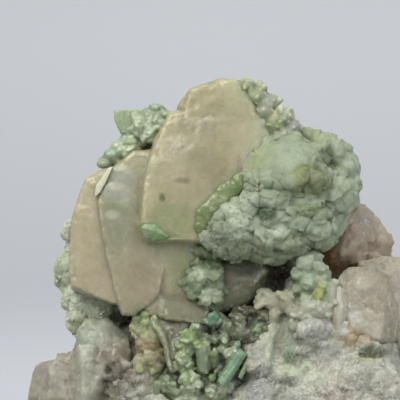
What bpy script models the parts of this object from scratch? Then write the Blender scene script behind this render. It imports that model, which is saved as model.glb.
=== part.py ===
"""A hand specimen of pollucite: pale tan crystals with green tourmaline and a mint crust on a pale matrix.

The specimen stands on the sawn-flat underside of its matrix. +X is to the right of the show face, +Y goes
to the back and +Z goes up. Every length in this file is in millimetres, and place() turns it into metres.
"""

import math
import random

import bmesh
import bpy
from mathutils import Matrix, Vector, noise

# Driving dimensions
SPECIMEN_HALF_WIDTH = 36.0
SPECIMEN_HALF_DEPTH = 24.0
MM = 0.001

# Clearance between neighbouring solids, and the mesh fineness of what is fused
SEAM = 0.5
CRUST_VOXEL = 0.55
ROCK_VOXEL = 0.9
SPRAY_VOXEL = 0.4

# The crystals. Each outline runs round the widest part of a crystal as (x, z), seen from the front. girdle
# and back are depths along Y, and inset is how far the bevels step in. A crystal with a flat front face has
# its depth in front and how fast it falls back along X and Z in tilt. One whose facets meet in edges has the
# ends of those edges in peaks, as (x, y, z).
POLLUCITE = {
    "main": {
        "outline": [
            (-10.8, 63.7), (-13.5, 58.6), (-15.3, 50.7), (-16.1, 43.4), (-14.6, 40.4),
            (-4.0, 40.0), (4.5, 45.0), (8.6, 56.5), (7.4, 63.0), (4.6, 64.9), (-4.0, 64.6),
        ],
        "front": -12.8, "girdle": -8.5, "back": 5.0, "inset": 1.9, "tilt": (0.05, 0.10),
    },
    "summit": {
        "outline": [
            (-9.2, 61.0), (-9.1, 64.9), (-6.9, 67.9), (-1.4, 69.8), (1.6, 69.7), (5.0, 67.0), (6.6, 61.0),
        ],
        "front": -9.9, "girdle": -8.0, "back": 4.0, "inset": 1.5, "tilt": (0.04, 0.12),
    },
    "middle": {
        "outline": [
            (-20.9, 53.9), (-23.5, 48.2), (-22.5, 41.0), (-20.3, 31.8), (-19.0, 27.4), (-16.8, 27.3),
            (-12.1, 30.4), (-11.2, 35.6), (-11.7, 54.0), (-14.0, 57.1), (-17.0, 57.0),
        ],
        "front": -9.8, "girdle": -6.9, "back": 3.0, "inset": 2.0, "tilt": (-0.10, 0.05),
    },
    "left": {
        "outline": [
            (-19.5, 54.2), (-23.4, 53.2), (-25.4, 51.8), (-26.5, 49.2), (-27.7, 45.0), (-28.5, 38.6),
            (-28.2, 32.0), (-20.0, 29.2), (-17.0, 31.0), (-16.5, 50.0),
        ],
        "front": -7.6, "girdle": -3.6, "back": 3.5, "inset": 1.8, "tilt": (-0.12, 0.06),
    },
    "blade": {
        "outline": [(-12.4, 41.4), (-11.9, 33.0), (-10.7, 31.5), (-7.5, 31.4), (-6.4, 35.4), (-6.2, 41.6)],
        "front": -9.4, "girdle": -7.6, "back": 0.0, "inset": 0.9, "tilt": (0.10, 0.0),
    },
    "chip": {
        "outline": [(-15.4, 31.0), (-11.3, 30.8), (-10.2, 28.0), (-11.4, 27.0), (-14.6, 27.6)],
        "front": -9.6, "girdle": -8.3, "back": 0.0, "inset": 0.6, "tilt": (0.15, 0.1),
    },
    "foot": {
        "outline": [(-12.0, 32.6), (-10.8, 26.6), (-4.2, 25.6), (-0.4, 27.4), (0.4, 33.4), (-6.8, 34.6)],
        "front": -7.4, "girdle": -5.4, "back": 3.0, "inset": 1.0, "tilt": (0.06, -0.10),
    },
    "shelf": {
        "outline": [
            (-5.6, 37.4), (6.0, 37.6), (7.3, 35.8), (6.9, 31.9),
            (4.0, 29.8), (-1.0, 27.9), (-4.2, 28.6), (-6.4, 32.6),
        ],
        "front": -7.0, "girdle": -4.6, "back": 4.0, "inset": 1.2, "tilt": (0.12, -0.12),
    },
}
SMOKY_QUARTZ = {
    "body": {
        "outline": [
            (19.6, 46.4), (22.4, 47.6), (24.6, 46.8), (27.3, 44.8), (28.6, 42.3), (29.9, 40.4), (29.2, 38.4),
            (27.8, 36.0), (22.0, 32.6), (17.0, 34.0), (15.8, 38.4), (17.0, 43.6),
        ],
        "girdle": -0.4, "back": 9.5, "inset": 2.2,
        "peaks": [
            (19.0, -2.8, 44.8), (21.0, -4.6, 43.4), (24.4, -4.8, 40.8),
            (20.2, -5.0, 38.0), (25.6, -3.0, 37.6),
        ],
    },
    "bud": {
        "outline": [(23.4, 40.2), (28.4, 42.0), (29.7, 39.0), (28.4, 34.6), (23.4, 34.6)],
        "girdle": 1.6, "back": 8.5, "inset": 1.2, "peaks": [(27.2, -1.6, 39.4), (26.4, -1.8, 36.6)],
    },
}
QUARTZ_RIGHT = {
    "face": {
        "outline": [
            (19.2, 33.6), (21.4, 36.0), (26.0, 36.4), (28.6, 33.2), (30.0, 28.2), (30.0, 23.2),
            (24.6, 19.4), (19.0, 23.0),
        ],
        "girdle": -9.8, "back": 2.0, "inset": 2.0,
        "peaks": [
            (21.2, -12.6, 33.2), (25.4, -12.0, 33.4), (27.4, -12.6, 28.0),
            (26.8, -13.6, 23.4), (21.6, -14.0, 24.6),
        ],
    },
    "shoulder": {
        "outline": [
            (23.0, 37.0), (28.0, 38.0), (33.0, 37.4), (35.6, 32.0), (35.4, 22.0), (27.0, 18.0), (22.0, 26.0),
        ],
        "girdle": -5.4, "back": 6.0, "inset": 2.2,
        "peaks": [(28.6, -8.4, 35.0), (31.6, -7.8, 33.6), (33.0, -8.8, 27.0), (31.4, -9.6, 21.6)],
    },
}
QUARTZ_LEFT = {
    "corner": {
        "outline": [
            (-36.0, 4.0), (-36.0, 11.4), (-35.3, 16.4), (-33.0, 18.8), (-29.9, 19.3), (-27.8, 17.0),
            (-27.0, 11.0), (-28.4, 4.2),
        ],
        "girdle": -2.0, "back": 7.0, "inset": 1.6,
        "peaks": [(-33.6, -5.0, 15.0), (-31.0, -5.6, 17.0), (-30.4, -6.6, 9.0), (-33.4, -5.4, 7.0)],
    },
    "inner": {
        "outline": [
            (-28.8, 7.0), (-28.6, 18.0), (-26.1, 22.2), (-22.3, 24.0), (-18.7, 23.4), (-17.4, 20.6),
            (-19.0, 14.0), (-23.4, 6.4),
        ],
        "girdle": -3.8, "back": 5.0, "inset": 1.8,
        "peaks": [(-25.6, -7.6, 18.6), (-20.8, -8.6, 21.4), (-25.2, -8.8, 11.6), (-21.4, -7.4, 15.4)],
    },
    "toe": {
        "outline": [
            (-23.0, 14.2), (-19.6, 17.6), (-14.8, 18.6), (-12.6, 14.8), (-14.4, 8.4), (-21.6, 7.6),
        ],
        "girdle": -5.6, "back": 3.0, "inset": 1.2,
        "peaks": [(-20.4, -8.0, 13.0), (-16.4, -8.8, 15.6), (-17.2, -9.4, 10.6)],
    },
}

# The feldspar and quartz matrix: blocks as (x, y, z, x radius, y radius, z radius), and pits in the same way
POCKET_HOLLOW = (-5.5, -13.5, 19.5, 8.8, 9.4, 10.4)
ROCK_BLOCKS = [
    (-17.0, 3.0, 6.0, 17.5, 16.0, 9.5),
    (0.0, 4.0, 6.0, 17.0, 18.5, 10.5),
    (18.0, 2.0, 7.0, 17.0, 19.0, 11.0),
    (-25.5, 6.0, 11.0, 9.5, 11.0, 9.5),
    (-19.0, 5.0, 20.0, 9.0, 9.5, 9.0),
    (-8.0, 7.0, 25.0, 12.0, 11.0, 13.0),
    (-4.0, 7.5, 40.0, 14.0, 8.5, 14.0),
    (0.5, 6.5, 54.0, 8.5, 6.5, 11.0),
    (10.0, 8.0, 30.0, 12.0, 11.0, 16.0),
    (11.0, 6.0, 46.0, 10.5, 8.0, 12.0),
    (21.0, 1.0, 19.0, 14.0, 13.0, 14.5),
    (17.0, -6.0, 20.0, 9.5, 9.0, 12.0),
    (8.5, -5.0, 20.0, 7.5, 8.0, 11.5),
    (22.0, -9.0, 10.0, 13.0, 10.0, 13.0),
    (8.0, -10.5, 8.0, 12.0, 9.5, 10.0),
    (-9.0, -8.0, 5.5, 13.0, 9.0, 8.0),
    (27.5, 5.0, 23.0, 8.5, 11.0, 12.0),
    (-15.0, -3.0, 15.0, 7.0, 8.0, 8.0),
]
ROCK_PITS = [
    POCKET_HOLLOW,
    (-18.8, -8.0, 26.8, 3.6, 7.0, 2.8),
    (9.2, -10.0, 34.6, 3.4, 8.0, 3.2),
    (5.0, -12.0, 28.0, 3.0, 5.0, 2.4),
    (13.0, -17.5, 27.0, 4.0, 3.0, 5.0),
    (25.4, -17.6, 20.8, 3.0, 3.6, 1.5),
    (-24.0, 19.0, 24.0, 6.5, 5.0, 8.0),
    (24.0, 18.0, 33.0, 7.0, 5.0, 6.0),
]
GRAIN_COUNT = 60
ROCK_FACES = 2000
SLAB_HEIGHT = 60.0

# The mint crust: body ellipsoids as (x, y, z, x radius, y radius, z radius)
BOSS_BODY = [
    (10.4, -9.6, 51.8, 8.6, 8.2, 7.4),
    (7.6, -9.0, 46.6, 9.4, 8.0, 6.0),
    (17.4, -6.6, 51.0, 5.6, 7.0, 8.2),
    (0.8, -10.6, 43.0, 5.2, 6.0, 5.4),
    (8.0, -8.6, 41.6, 7.6, 7.2, 4.6),
    (14.8, -7.8, 44.4, 5.8, 6.6, 4.6),
    (13.4, -2.6, 56.4, 6.0, 6.4, 3.8),
]
CREST_BODY = [
    (3.0, 0.0, 67.0, 2.4, 5.0, 2.4),
    (5.6, -0.6, 64.8, 3.0, 6.4, 2.8),
    (8.2, -0.8, 62.0, 3.2, 6.6, 2.9),
    (10.8, 0.4, 59.4, 3.4, 6.4, 2.8),
    (7.4, 3.4, 60.4, 4.6, 5.0, 4.2),
]
PILLAR_BODY = [
    (14.2, -9.0, 36.8, 2.8, 3.2, 3.2),
    (15.2, -10.0, 33.2, 3.3, 3.6, 3.4),
    (13.6, -9.2, 30.2, 3.4, 3.6, 2.8),
    (16.8, -10.2, 30.0, 2.6, 3.2, 3.0),
    (14.6, -5.4, 33.4, 3.4, 4.4, 4.4),
]
LEFT_CRUST_BODY = [
    (-28.2, 0.0, 42.4, 1.8, 2.2, 1.9),
    (-27.0, 1.8, 39.4, 2.2, 2.8, 3.6),
    (-28.7, -0.2, 35.2, 2.5, 2.6, 3.5),
    (-27.2, -0.6, 30.4, 2.4, 3.4, 2.8),
    (-26.4, -0.6, 26.4, 2.6, 3.6, 3.0),
    (-23.4, -2.4, 27.8, 3.0, 3.4, 3.0),
    (-20.8, 0.4, 27.2, 3.2, 4.0, 3.0),
    (-25.6, 2.6, 34.0, 2.6, 3.0, 6.6),
]
CENTRE_CRUST_BODY = [
    (-5.0, -7.6, 36.8, 2.8, 2.4, 3.2),
    (-4.4, -8.2, 33.0, 3.2, 2.8, 2.8),
    (-3.6, -7.8, 30.0, 2.8, 2.4, 2.0),
    (-6.2, -8.6, 39.4, 2.2, 2.2, 1.6),
]
COLUMN_BODY = [
    (-15.4, -7.0, 26.0, 1.9, 2.4, 2.4),
    (-14.6, -7.4, 23.4, 2.2, 2.4, 2.6),
    (-12.6, -7.2, 24.6, 1.8, 2.2, 2.4),
]
# Beads on the left shoulder, as (x, y, z, radius)
SPRAY_BEADS = [
    (-14.0, -5.4, 62.4, 2.3), (-12.3, -5.0, 63.6, 1.6), (-15.7, -5.6, 60.6, 2.2), (-13.6, -5.4, 59.8, 2.3),
    (-17.7, -4.8, 58.3, 1.7), (-19.4, -5.0, 56.9, 1.5), (-20.4, -4.6, 56.0, 1.6), (-22.2, -4.2, 54.6, 1.4),
    (-11.8, -3.6, 61.6, 2.2), (-16.4, -3.4, 58.4, 2.4), (-19.4, -2.8, 55.2, 2.2), (-13.6, -1.6, 59.2, 2.8),
]
SPRAY_PLATE = {
    "outline": [(-20.2, 64.0), (-15.0, 64.2), (-14.4, 60.6), (-19.4, 60.2), (-20.4, 62.4)],
    "front": -6.4, "girdle": -5.9, "back": -4.8, "inset": 0.3, "tilt": (0.1, 0.05),
}

# The tourmaline pocket: the crust that lines the hollow, and prisms as (tip x, y, z, root x, y, z, radius)
LINING_THICKNESS = 1.9
LINING_FRONT = -9.4
LINING_LUMPS = 20
LARGE_PRISMS = [
    (2.9, -11.0, 21.4, -2.6, -7.6, 14.0, 1.25),
    (-2.9, -11.4, 27.3, -2.6, -5.6, 24.6, 1.25),
    (-7.4, -12.4, 23.2, -6.6, -5.0, 21.4, 1.8),
    (-8.4, -12.0, 19.6, -7.2, -4.6, 18.4, 1.7),
    (-7.2, -12.4, 16.0, -6.0, -5.4, 15.4, 1.5),
    (-4.6, -11.6, 21.8, -4.4, -4.8, 17.6, 1.2),
    (-1.4, -10.6, 18.6, -3.2, -4.8, 16.6, 1.1),
    (-0.6, -11.0, 24.0, -1.0, -5.0, 22.0, 1.2),
    (5.3, -11.6, 26.2, 3.0, -7.0, 24.2, 1.3),
    (-11.2, -11.4, 15.8, -9.4, -6.6, 15.2, 1.4),
]
SMALL_PRISM_COUNT = 8
PRISM_SIDES = 6

# Single gem crystals: a bead under the main crystal, and a rim between it and the mint boss
BEAD = (-13.0, -13.0, 41.6, 2.8, 2.2, 1.7)
RIM_BODY = [
    (1.3, -14.0, 50.2, 1.4, 1.8, 1.7),
    (-1.2, -14.2, 48.4, 2.0, 1.9, 1.7),
    (-3.2, -14.2, 46.2, 1.8, 1.9, 1.9),
    (-4.4, -13.8, 43.8, 1.5, 1.8, 2.0),
]


def clear_scene():
    for obj in list(bpy.data.objects):
        bpy.data.objects.remove(obj)


def mesh_from_bmesh(bm):
    mesh = bpy.data.meshes.new("shape")
    bm.to_mesh(mesh)
    bm.free()
    return mesh


def joined(meshes):
    """One mesh holding all of these, still overlapping."""
    bm = bmesh.new()
    for mesh in meshes:
        bm.from_mesh(mesh)
    return mesh_from_bmesh(bm)


def with_modifiers(mesh, *modifiers):
    """The mesh after a stack of modifiers, each given as (type, {setting: value})."""
    obj = bpy.data.objects.new("working", mesh)
    bpy.context.scene.collection.objects.link(obj)
    for kind, settings in modifiers:
        modifier = obj.modifiers.new(kind.title(), kind)
        for name, value in settings.items():
            setattr(modifier, name, value)
    graph = bpy.context.evaluated_depsgraph_get()
    result = bpy.data.meshes.new_from_object(obj.evaluated_get(graph))
    bpy.data.objects.remove(obj)
    return result


def combine(mesh, other, operation, solver="EXACT"):
    """The two meshes after a Boolean."""
    tool = bpy.data.objects.new("tool", other)
    bpy.context.scene.collection.objects.link(tool)
    settings = {"object": tool, "operation": operation, "solver": solver}
    result = with_modifiers(mesh, ("BOOLEAN", settings))
    bpy.data.objects.remove(tool)
    return result


def largest_body(mesh):
    """The mesh without the loose crumbs that a cut leaves."""
    bm = bmesh.new()
    bm.from_mesh(mesh)
    unseen = set(bm.verts)
    bodies = []
    while unseen:
        front = [unseen.pop()]
        body = set(front)
        while front:
            vert = front.pop()
            near = {edge.other_vert(vert) for edge in vert.link_edges} & unseen
            unseen -= near
            body |= near
            front.extend(near)
        bodies.append(body)
    keep = max(bodies, key=len)
    bmesh.ops.delete(bm, geom=[v for v in bm.verts if v not in keep], context="VERTS")
    return mesh_from_bmesh(bm)


def hull(points):
    """The convex solid round these points, with its flat faces whole."""
    bm = bmesh.new()
    for point in points:
        bm.verts.new(point)
    made = bmesh.ops.convex_hull(bm, input=bm.verts)
    unused = set(made["geom_interior"]) | set(made["geom_unused"])
    bmesh.ops.delete(bm, geom=[g for g in unused if isinstance(g, bmesh.types.BMVert)], context="VERTS")
    bmesh.ops.dissolve_limit(bm, angle_limit=math.radians(1.0), verts=bm.verts, edges=bm.edges)
    bmesh.ops.recalc_face_normals(bm, faces=bm.faces)
    return mesh_from_bmesh(bm)


def crystal(outline, girdle, back, inset, front=None, tilt=(0.0, 0.0), peaks=()):
    """A crystal with bevels round its girdle and a smaller back, and a flat or an edged front."""
    centre_x = sum(x for x, _ in outline) / len(outline)
    centre_z = sum(z for _, z in outline) / len(outline)
    reach = sum(math.hypot(x - centre_x, z - centre_z) for x, z in outline) / len(outline)

    def ring(depth, step_in):
        share = 1.0 - step_in / reach
        for x, z in outline:
            fall = tilt[0] * (x - centre_x) + tilt[1] * (z - centre_z)
            yield (centre_x + (x - centre_x) * share, depth + fall, centre_z + (z - centre_z) * share)

    points = [*ring(girdle, 0.0), *ring(back, 1.6 * inset), *peaks]
    if front is not None:
        points += [*ring(front, inset), *ring(0.7 * front + 0.3 * girdle, 0.4 * inset)]
    return hull(points)


def crystals(specs):
    return [crystal(**spec) for spec in specs.values()]


def intergrown(shapes):
    """Crystals that grew into each other, joined in one solid with its edges sharp."""
    whole = shapes[0]
    for shape in shapes[1:]:
        whole = combine(whole, shape, "UNION")
    return whole


def ellipsoid(x, y, z, radius_x, radius_y, radius_z, detail=3):
    bm = bmesh.new()
    shape = Matrix.Translation((x, y, z)) @ Matrix.Diagonal((radius_x, radius_y, radius_z, 1.0))
    bmesh.ops.create_icosphere(bm, subdivisions=detail, radius=1.0, matrix=shape)
    return mesh_from_bmesh(bm)


def block(x, y, z, radius_x, radius_y, radius_z, rng, corners=15):
    """A broken lump of rock: the hull of a few corners scattered over an ellipsoid."""
    points = []
    for k in range(corners):
        height = 1.0 - 2.0 * (k + 0.5) / corners
        turn = k * math.pi * (3.0 - math.sqrt(5.0)) + rng.uniform(-0.35, 0.35)
        flat = math.sqrt(1.0 - height * height)
        swell = rng.uniform(1.0, 1.2)
        points.append((
            x + radius_x * swell * flat * math.cos(turn),
            y + radius_y * swell * flat * math.sin(turn),
            z + radius_z * swell * height,
        ))
    return hull(points)


def nodules(bodies, count, size, rng, flatness=0.6):
    """Rounded scales scattered over the outside of some ellipsoids."""
    made = []
    for _ in range(count):
        x, y, z, radius_x, radius_y, radius_z = rng.choice(bodies)
        out = Vector((rng.gauss(0, 1), rng.gauss(0, 1), rng.gauss(0, 1))).normalized()
        spot = Vector((x + out.x * radius_x, y + out.y * radius_y, z + out.z * radius_z)) - 0.25 * size * out
        radius = size * rng.uniform(0.6, 1.25)
        bm = bmesh.new()
        turn = out.to_track_quat("Z", "Y").to_matrix().to_4x4()
        stretch = Matrix.Diagonal((radius, radius * rng.uniform(0.6, 1.0), radius * flatness, 1.0))
        shape = Matrix.Translation(spot) @ turn @ stretch
        bmesh.ops.create_icosphere(bm, subdivisions=2, radius=1.0, matrix=shape)
        made.append(mesh_from_bmesh(bm))
    return made


def pushed(mesh, distance):
    """The mesh with each point moved out along its normal by distance(point)."""
    normals = [v.normal.copy() for v in mesh.vertices]
    for vert, normal in zip(mesh.vertices, normals, strict=True):
        vert.co += normal * distance(vert.co)
    return mesh


def roughened(mesh, height, grain):
    """The mesh with its points pushed in and out by a noise of this height and grain size."""
    return pushed(mesh, lambda point: height * noise.fractal(point / grain, 1.0, 2.0, 3))


def fused(meshes, voxel, faces, height, grain):
    """Overlapping shapes melted into one closed skin, roughened, and thinned to about this many triangles."""
    skin = with_modifiers(joined(meshes), ("REMESH", {"mode": "VOXEL", "voxel_size": voxel}))
    skin = roughened(largest_body(skin), height, grain)
    triangles = 2 * len(skin.polygons)
    return largest_body(with_modifiers(skin, ("DECIMATE", {"ratio": min(1.0, faces / triangles)})))


def carved(mesh, *others):
    """The mesh with a close-fitting pocket for each of the others."""
    for other in others:
        cutter = pushed(other.copy(), lambda _: SEAM)
        mesh = combine(mesh, cutter, "DIFFERENCE", "MANIFOLD")
    return largest_body(mesh)


def prism(tip, root, radius):
    """A six-sided crystal from root to tip, with a low pyramid on its end."""
    axis = Vector(tip) - Vector(root)
    turn = axis.to_track_quat("Z", "Y")
    points = []
    for k in range(PRISM_SIDES):
        angle = 2.0 * math.pi * k / PRISM_SIDES
        rim = Vector((radius * math.cos(angle), radius * math.sin(angle), 0.0))
        shoulder = Vector((rim.x, rim.y, axis.length - 0.45 * radius))
        cap = Vector((0.45 * rim.x, 0.45 * rim.y, axis.length))
        points += [Vector(root) + turn @ p for p in (rim, shoulder, cap)]
    return hull(points)


def rock():
    """The matrix: broken blocks and small grains with pits between them, standing on a flat underside."""
    rng = random.Random(7)
    blocks = [block(*place, rng=rng) for place in ROCK_BLOCKS]
    for _ in range(GRAIN_COUNT):
        x, y, z, radius_x, radius_y, radius_z = rng.choice(ROCK_BLOCKS)
        out = Vector((rng.gauss(0, 1), rng.gauss(0, 1), rng.gauss(0, 0.7))).normalized()
        spot = (x + out.x * radius_x, y + out.y * radius_y, z + out.z * radius_z)
        blocks.append(block(*spot, *[rng.uniform(1.6, 3.4) for _ in range(3)], rng=rng, corners=10))
    solid = with_modifiers(joined(blocks), ("REMESH", {"mode": "VOXEL", "voxel_size": ROCK_VOXEL}))
    for pit in ROCK_PITS:
        solid = combine(solid, ellipsoid(*pit), "DIFFERENCE")
    return trimmed(fused([solid], ROCK_VOXEL, ROCK_FACES, 0.5, 4.0))


def slab(low_y, high_y):
    """A box as wide as the specimen and taller than its rock, from low_y to high_y."""
    bm = bmesh.new()
    bmesh.ops.create_cube(bm, size=1.0)
    bmesh.ops.scale(bm, vec=(2 * SPECIMEN_HALF_WIDTH, high_y - low_y, SLAB_HEIGHT), verts=bm.verts)
    bmesh.ops.translate(bm, vec=(0.0, (low_y + high_y) / 2, SLAB_HEIGHT / 2), verts=bm.verts)
    return mesh_from_bmesh(bm)


def trimmed(mesh):
    """The rock inside the specimen's width and depth and above its flat underside, closed where it is cut."""
    return combine(mesh, slab(-SPECIMEN_HALF_DEPTH, SPECIMEN_HALF_DEPTH), "INTERSECT")


def crust(bodies, count, size, faces, seed, height=0.25):
    rng = random.Random(seed)
    shapes = [ellipsoid(*body) for body in bodies] + nodules(bodies, count, size, rng)
    return fused(shapes, CRUST_VOXEL, faces, height, 1.6)


def shoulder_spray():
    """Rounded green crystals with one flat plate, on the left shoulder."""
    beads = [ellipsoid(x, y, z, r, r, r, detail=2) for x, y, z, r in SPRAY_BEADS]
    body = fused(beads, SPRAY_VOXEL, 360, 0.25, 1.2)
    return combine(body, crystal(**SPRAY_PLATE), "UNION")


def lining(rng):
    """A bowl of crust against the wall of the hollow, with small lumps inside it."""
    x, y, z, *radii = POCKET_HOLLOW
    outer = ellipsoid(x, y, z, *[radius + 0.8 for radius in radii])
    inner = ellipsoid(x, y - 0.5 * LINING_THICKNESS, z, *[radius - LINING_THICKNESS for radius in radii])
    bowl = combine(outer, inner, "DIFFERENCE")
    bowl = combine(bowl, slab(LINING_FRONT, 0.0), "INTERSECT")
    lumps = []
    for _ in range(LINING_LUMPS):
        turn = rng.uniform(0.0, 2.0 * math.pi)
        away = rng.uniform(0.0, math.radians(65))
        out = (math.sin(away) * math.cos(turn), math.cos(away), math.sin(away) * math.sin(turn))
        spot = Vector((x, y, z)) + Vector([(radius - LINING_THICKNESS) * n for radius, n in zip(radii, out)])
        lumps.append(ellipsoid(*spot, *[rng.uniform(0.9, 1.8) for _ in range(3)], detail=2))
    return [bowl, *lumps]


def pocket():
    """The tourmaline prisms that line the hollow under the pollucite, with the crust they grow from."""
    rng = random.Random(21)
    whole = fused(lining(rng), CRUST_VOXEL, 340, 0.3, 1.5)
    prisms = [prism(p[0:3], p[3:6], p[6]) for p in LARGE_PRISMS]
    for _ in range(SMALL_PRISM_COUNT):
        root = Vector((rng.uniform(-9.5, -1.0), -5.4, rng.uniform(14.5, 25.0)))
        lean = Vector((rng.uniform(-1.6, 1.6), rng.uniform(-5.0, -3.2), rng.uniform(-1.2, 1.8)))
        prisms.append(prism(root + lean, root, rng.uniform(0.6, 1.0)))
    for shape in prisms:
        whole = combine(whole, shape, "UNION")
    return whole


def finish(name, color, roughness):
    """A Principled material."""
    material = bpy.data.materials.new(name)
    material.use_nodes = True
    shader = material.node_tree.nodes["Principled BSDF"]
    shader.inputs["Base Color"].default_value = (*color, 1.0)
    shader.inputs["Roughness"].default_value = roughness
    shader.inputs["Metallic"].default_value = 0.0
    return material


def place(name, mesh, material, specimen):
    """Adds the piece to the scene in metres, with its origin in the middle of its own box."""
    low = Vector([min(v.co[k] for v in mesh.vertices) for k in range(3)])
    high = Vector([max(v.co[k] for v in mesh.vertices) for k in range(3)])
    middle = (low + high) / 2
    mesh.transform(Matrix.Scale(MM, 4) @ Matrix.Translation(-middle))
    mesh.name = name
    mesh.materials.clear()
    mesh.materials.append(material)
    obj = bpy.data.objects.new(name, mesh)
    bpy.context.scene.collection.objects.link(obj)
    obj.parent = specimen
    obj.location = middle * MM
    return obj


def build():
    clear_scene()
    tan = finish("pollucite", (0.52, 0.45, 0.30), 0.35)
    smoky = finish("smoky_quartz", (0.36, 0.27, 0.20), 0.35)
    milky = finish("milky_quartz", (0.46, 0.42, 0.36), 0.45)
    mint = finish("mint_crust", (0.42, 0.55, 0.40), 0.7)
    green = finish("tourmaline", (0.15, 0.33, 0.14), 0.3)
    pale = finish("matrix", (0.50, 0.49, 0.42), 0.8)

    tan_crystals = crystals(POLLUCITE)
    smoky_crystals = crystals(SMOKY_QUARTZ)
    right_crystals = crystals(QUARTZ_RIGHT)
    left_crystals = crystals(QUARTZ_LEFT)
    all_crystals = [*tan_crystals, *smoky_crystals, *right_crystals, *left_crystals]

    pollucite = intergrown(tan_crystals)
    smoky_quartz = intergrown(smoky_crystals)
    quartz_right = carved(intergrown(right_crystals), *smoky_crystals)
    quartz_left = intergrown(left_crystals)
    matrix = carved(rock(), *all_crystals)
    rim = carved(fused([ellipsoid(*b) for b in RIM_BODY], SPRAY_VOXEL, 200, 0.1, 1.0), *tan_crystals)
    bead = carved(ellipsoid(*BEAD, detail=2), *tan_crystals)
    boss = carved(crust(BOSS_BODY, 110, 2.1, 1150, 3), *all_crystals, rim, matrix)
    crest = carved(crust(CREST_BODY, 40, 1.5, 400, 4), *all_crystals, boss, matrix)
    pillar = carved(crust(PILLAR_BODY, 26, 1.4, 260, 5), *all_crystals, boss, matrix)
    left_crust = carved(crust(LEFT_CRUST_BODY, 40, 1.3, 420, 6), *all_crystals, matrix)
    centre_crust = carved(crust(CENTRE_CRUST_BODY, 24, 1.0, 240, 8), *all_crystals, boss, matrix)
    column = carved(crust(COLUMN_BODY, 16, 0.9, 180, 9), *all_crystals, left_crust, matrix)
    spray = carved(shoulder_spray(), *tan_crystals, matrix)
    tourmaline = carved(pocket(), *all_crystals, centre_crust, column, matrix)

    specimen = bpy.data.objects.new("specimen", None)
    bpy.context.scene.collection.objects.link(specimen)
    for name, mesh, material in [
        ("matrix_rock", matrix, pale),
        ("pollucite_crystals", pollucite, tan),
        ("smoky_quartz", smoky_quartz, smoky),
        ("quartz_right", quartz_right, milky),
        ("quartz_left", quartz_left, milky),
        ("mint_boss", boss, mint),
        ("mint_crest", crest, mint),
        ("mint_pillar", pillar, mint),
        ("mint_crust_left", left_crust, mint),
        ("mint_crust_centre", centre_crust, mint),
        ("mint_crust_column", column, mint),
        ("tourmaline_spray", spray, green),
        ("tourmaline_pocket", tourmaline, green),
        ("tourmaline_rim", rim, green),
        ("tourmaline_bead", bead, green),
    ]:
        place(name, mesh, material, specimen)


if __name__ == "__main__":
    build()
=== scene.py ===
"""The looks of the pollucite specimen: fine surfaces, small crystals, materials, light and camera.

Lengths in the tables are in millimetres, in the frame's own axes. Meshes are in metres. Colours in the
tables are as a screen shows them, each part from 0 to 255.
"""

import itertools
import math

import bmesh
import bpy
import numpy as np
from mathutils import Matrix, Vector
from mathutils.bvhtree import BVHTree


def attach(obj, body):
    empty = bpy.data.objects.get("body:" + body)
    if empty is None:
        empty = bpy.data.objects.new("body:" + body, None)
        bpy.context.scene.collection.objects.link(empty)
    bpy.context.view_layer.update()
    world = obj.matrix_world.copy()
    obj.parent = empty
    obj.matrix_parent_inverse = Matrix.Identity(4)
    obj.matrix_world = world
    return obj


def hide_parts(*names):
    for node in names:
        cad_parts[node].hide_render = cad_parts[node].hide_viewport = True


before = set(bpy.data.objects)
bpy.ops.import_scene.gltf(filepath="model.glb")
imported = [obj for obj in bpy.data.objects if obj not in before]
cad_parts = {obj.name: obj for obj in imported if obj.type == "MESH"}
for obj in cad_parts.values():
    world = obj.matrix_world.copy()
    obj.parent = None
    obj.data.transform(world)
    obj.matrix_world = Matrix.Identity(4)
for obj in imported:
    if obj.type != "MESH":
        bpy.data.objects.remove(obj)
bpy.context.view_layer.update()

MM = 0.001

# The photograph's view: its width at the specimen, the height of its middle and its side offset, in metres
VIEW_WIDTH = 0.072
VIEW_HEIGHT = 0.048
VIEW_SIDE = -0.00504
CAMERA_DISTANCE = 0.8
SENSOR_WIDTH = 36.0


def tone(red, green, blue):
    """A colour as a screen shows it, in the linear numbers that materials take."""
    return tuple(((part / 255 + 0.055) / 1.055) ** 2.4 for part in (red, green, blue))


CREAM = tone(226, 222, 200)
WHITE = tone(206, 206, 196)
OLIVE = tone(128, 130, 96)
# The dark green painted as shade in the crusts' creases
CREASE_SHADE = tone(104, 116, 72)
DARK = tone(62, 64, 44)
PALE_MINT = tone(172, 181, 160)

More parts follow.
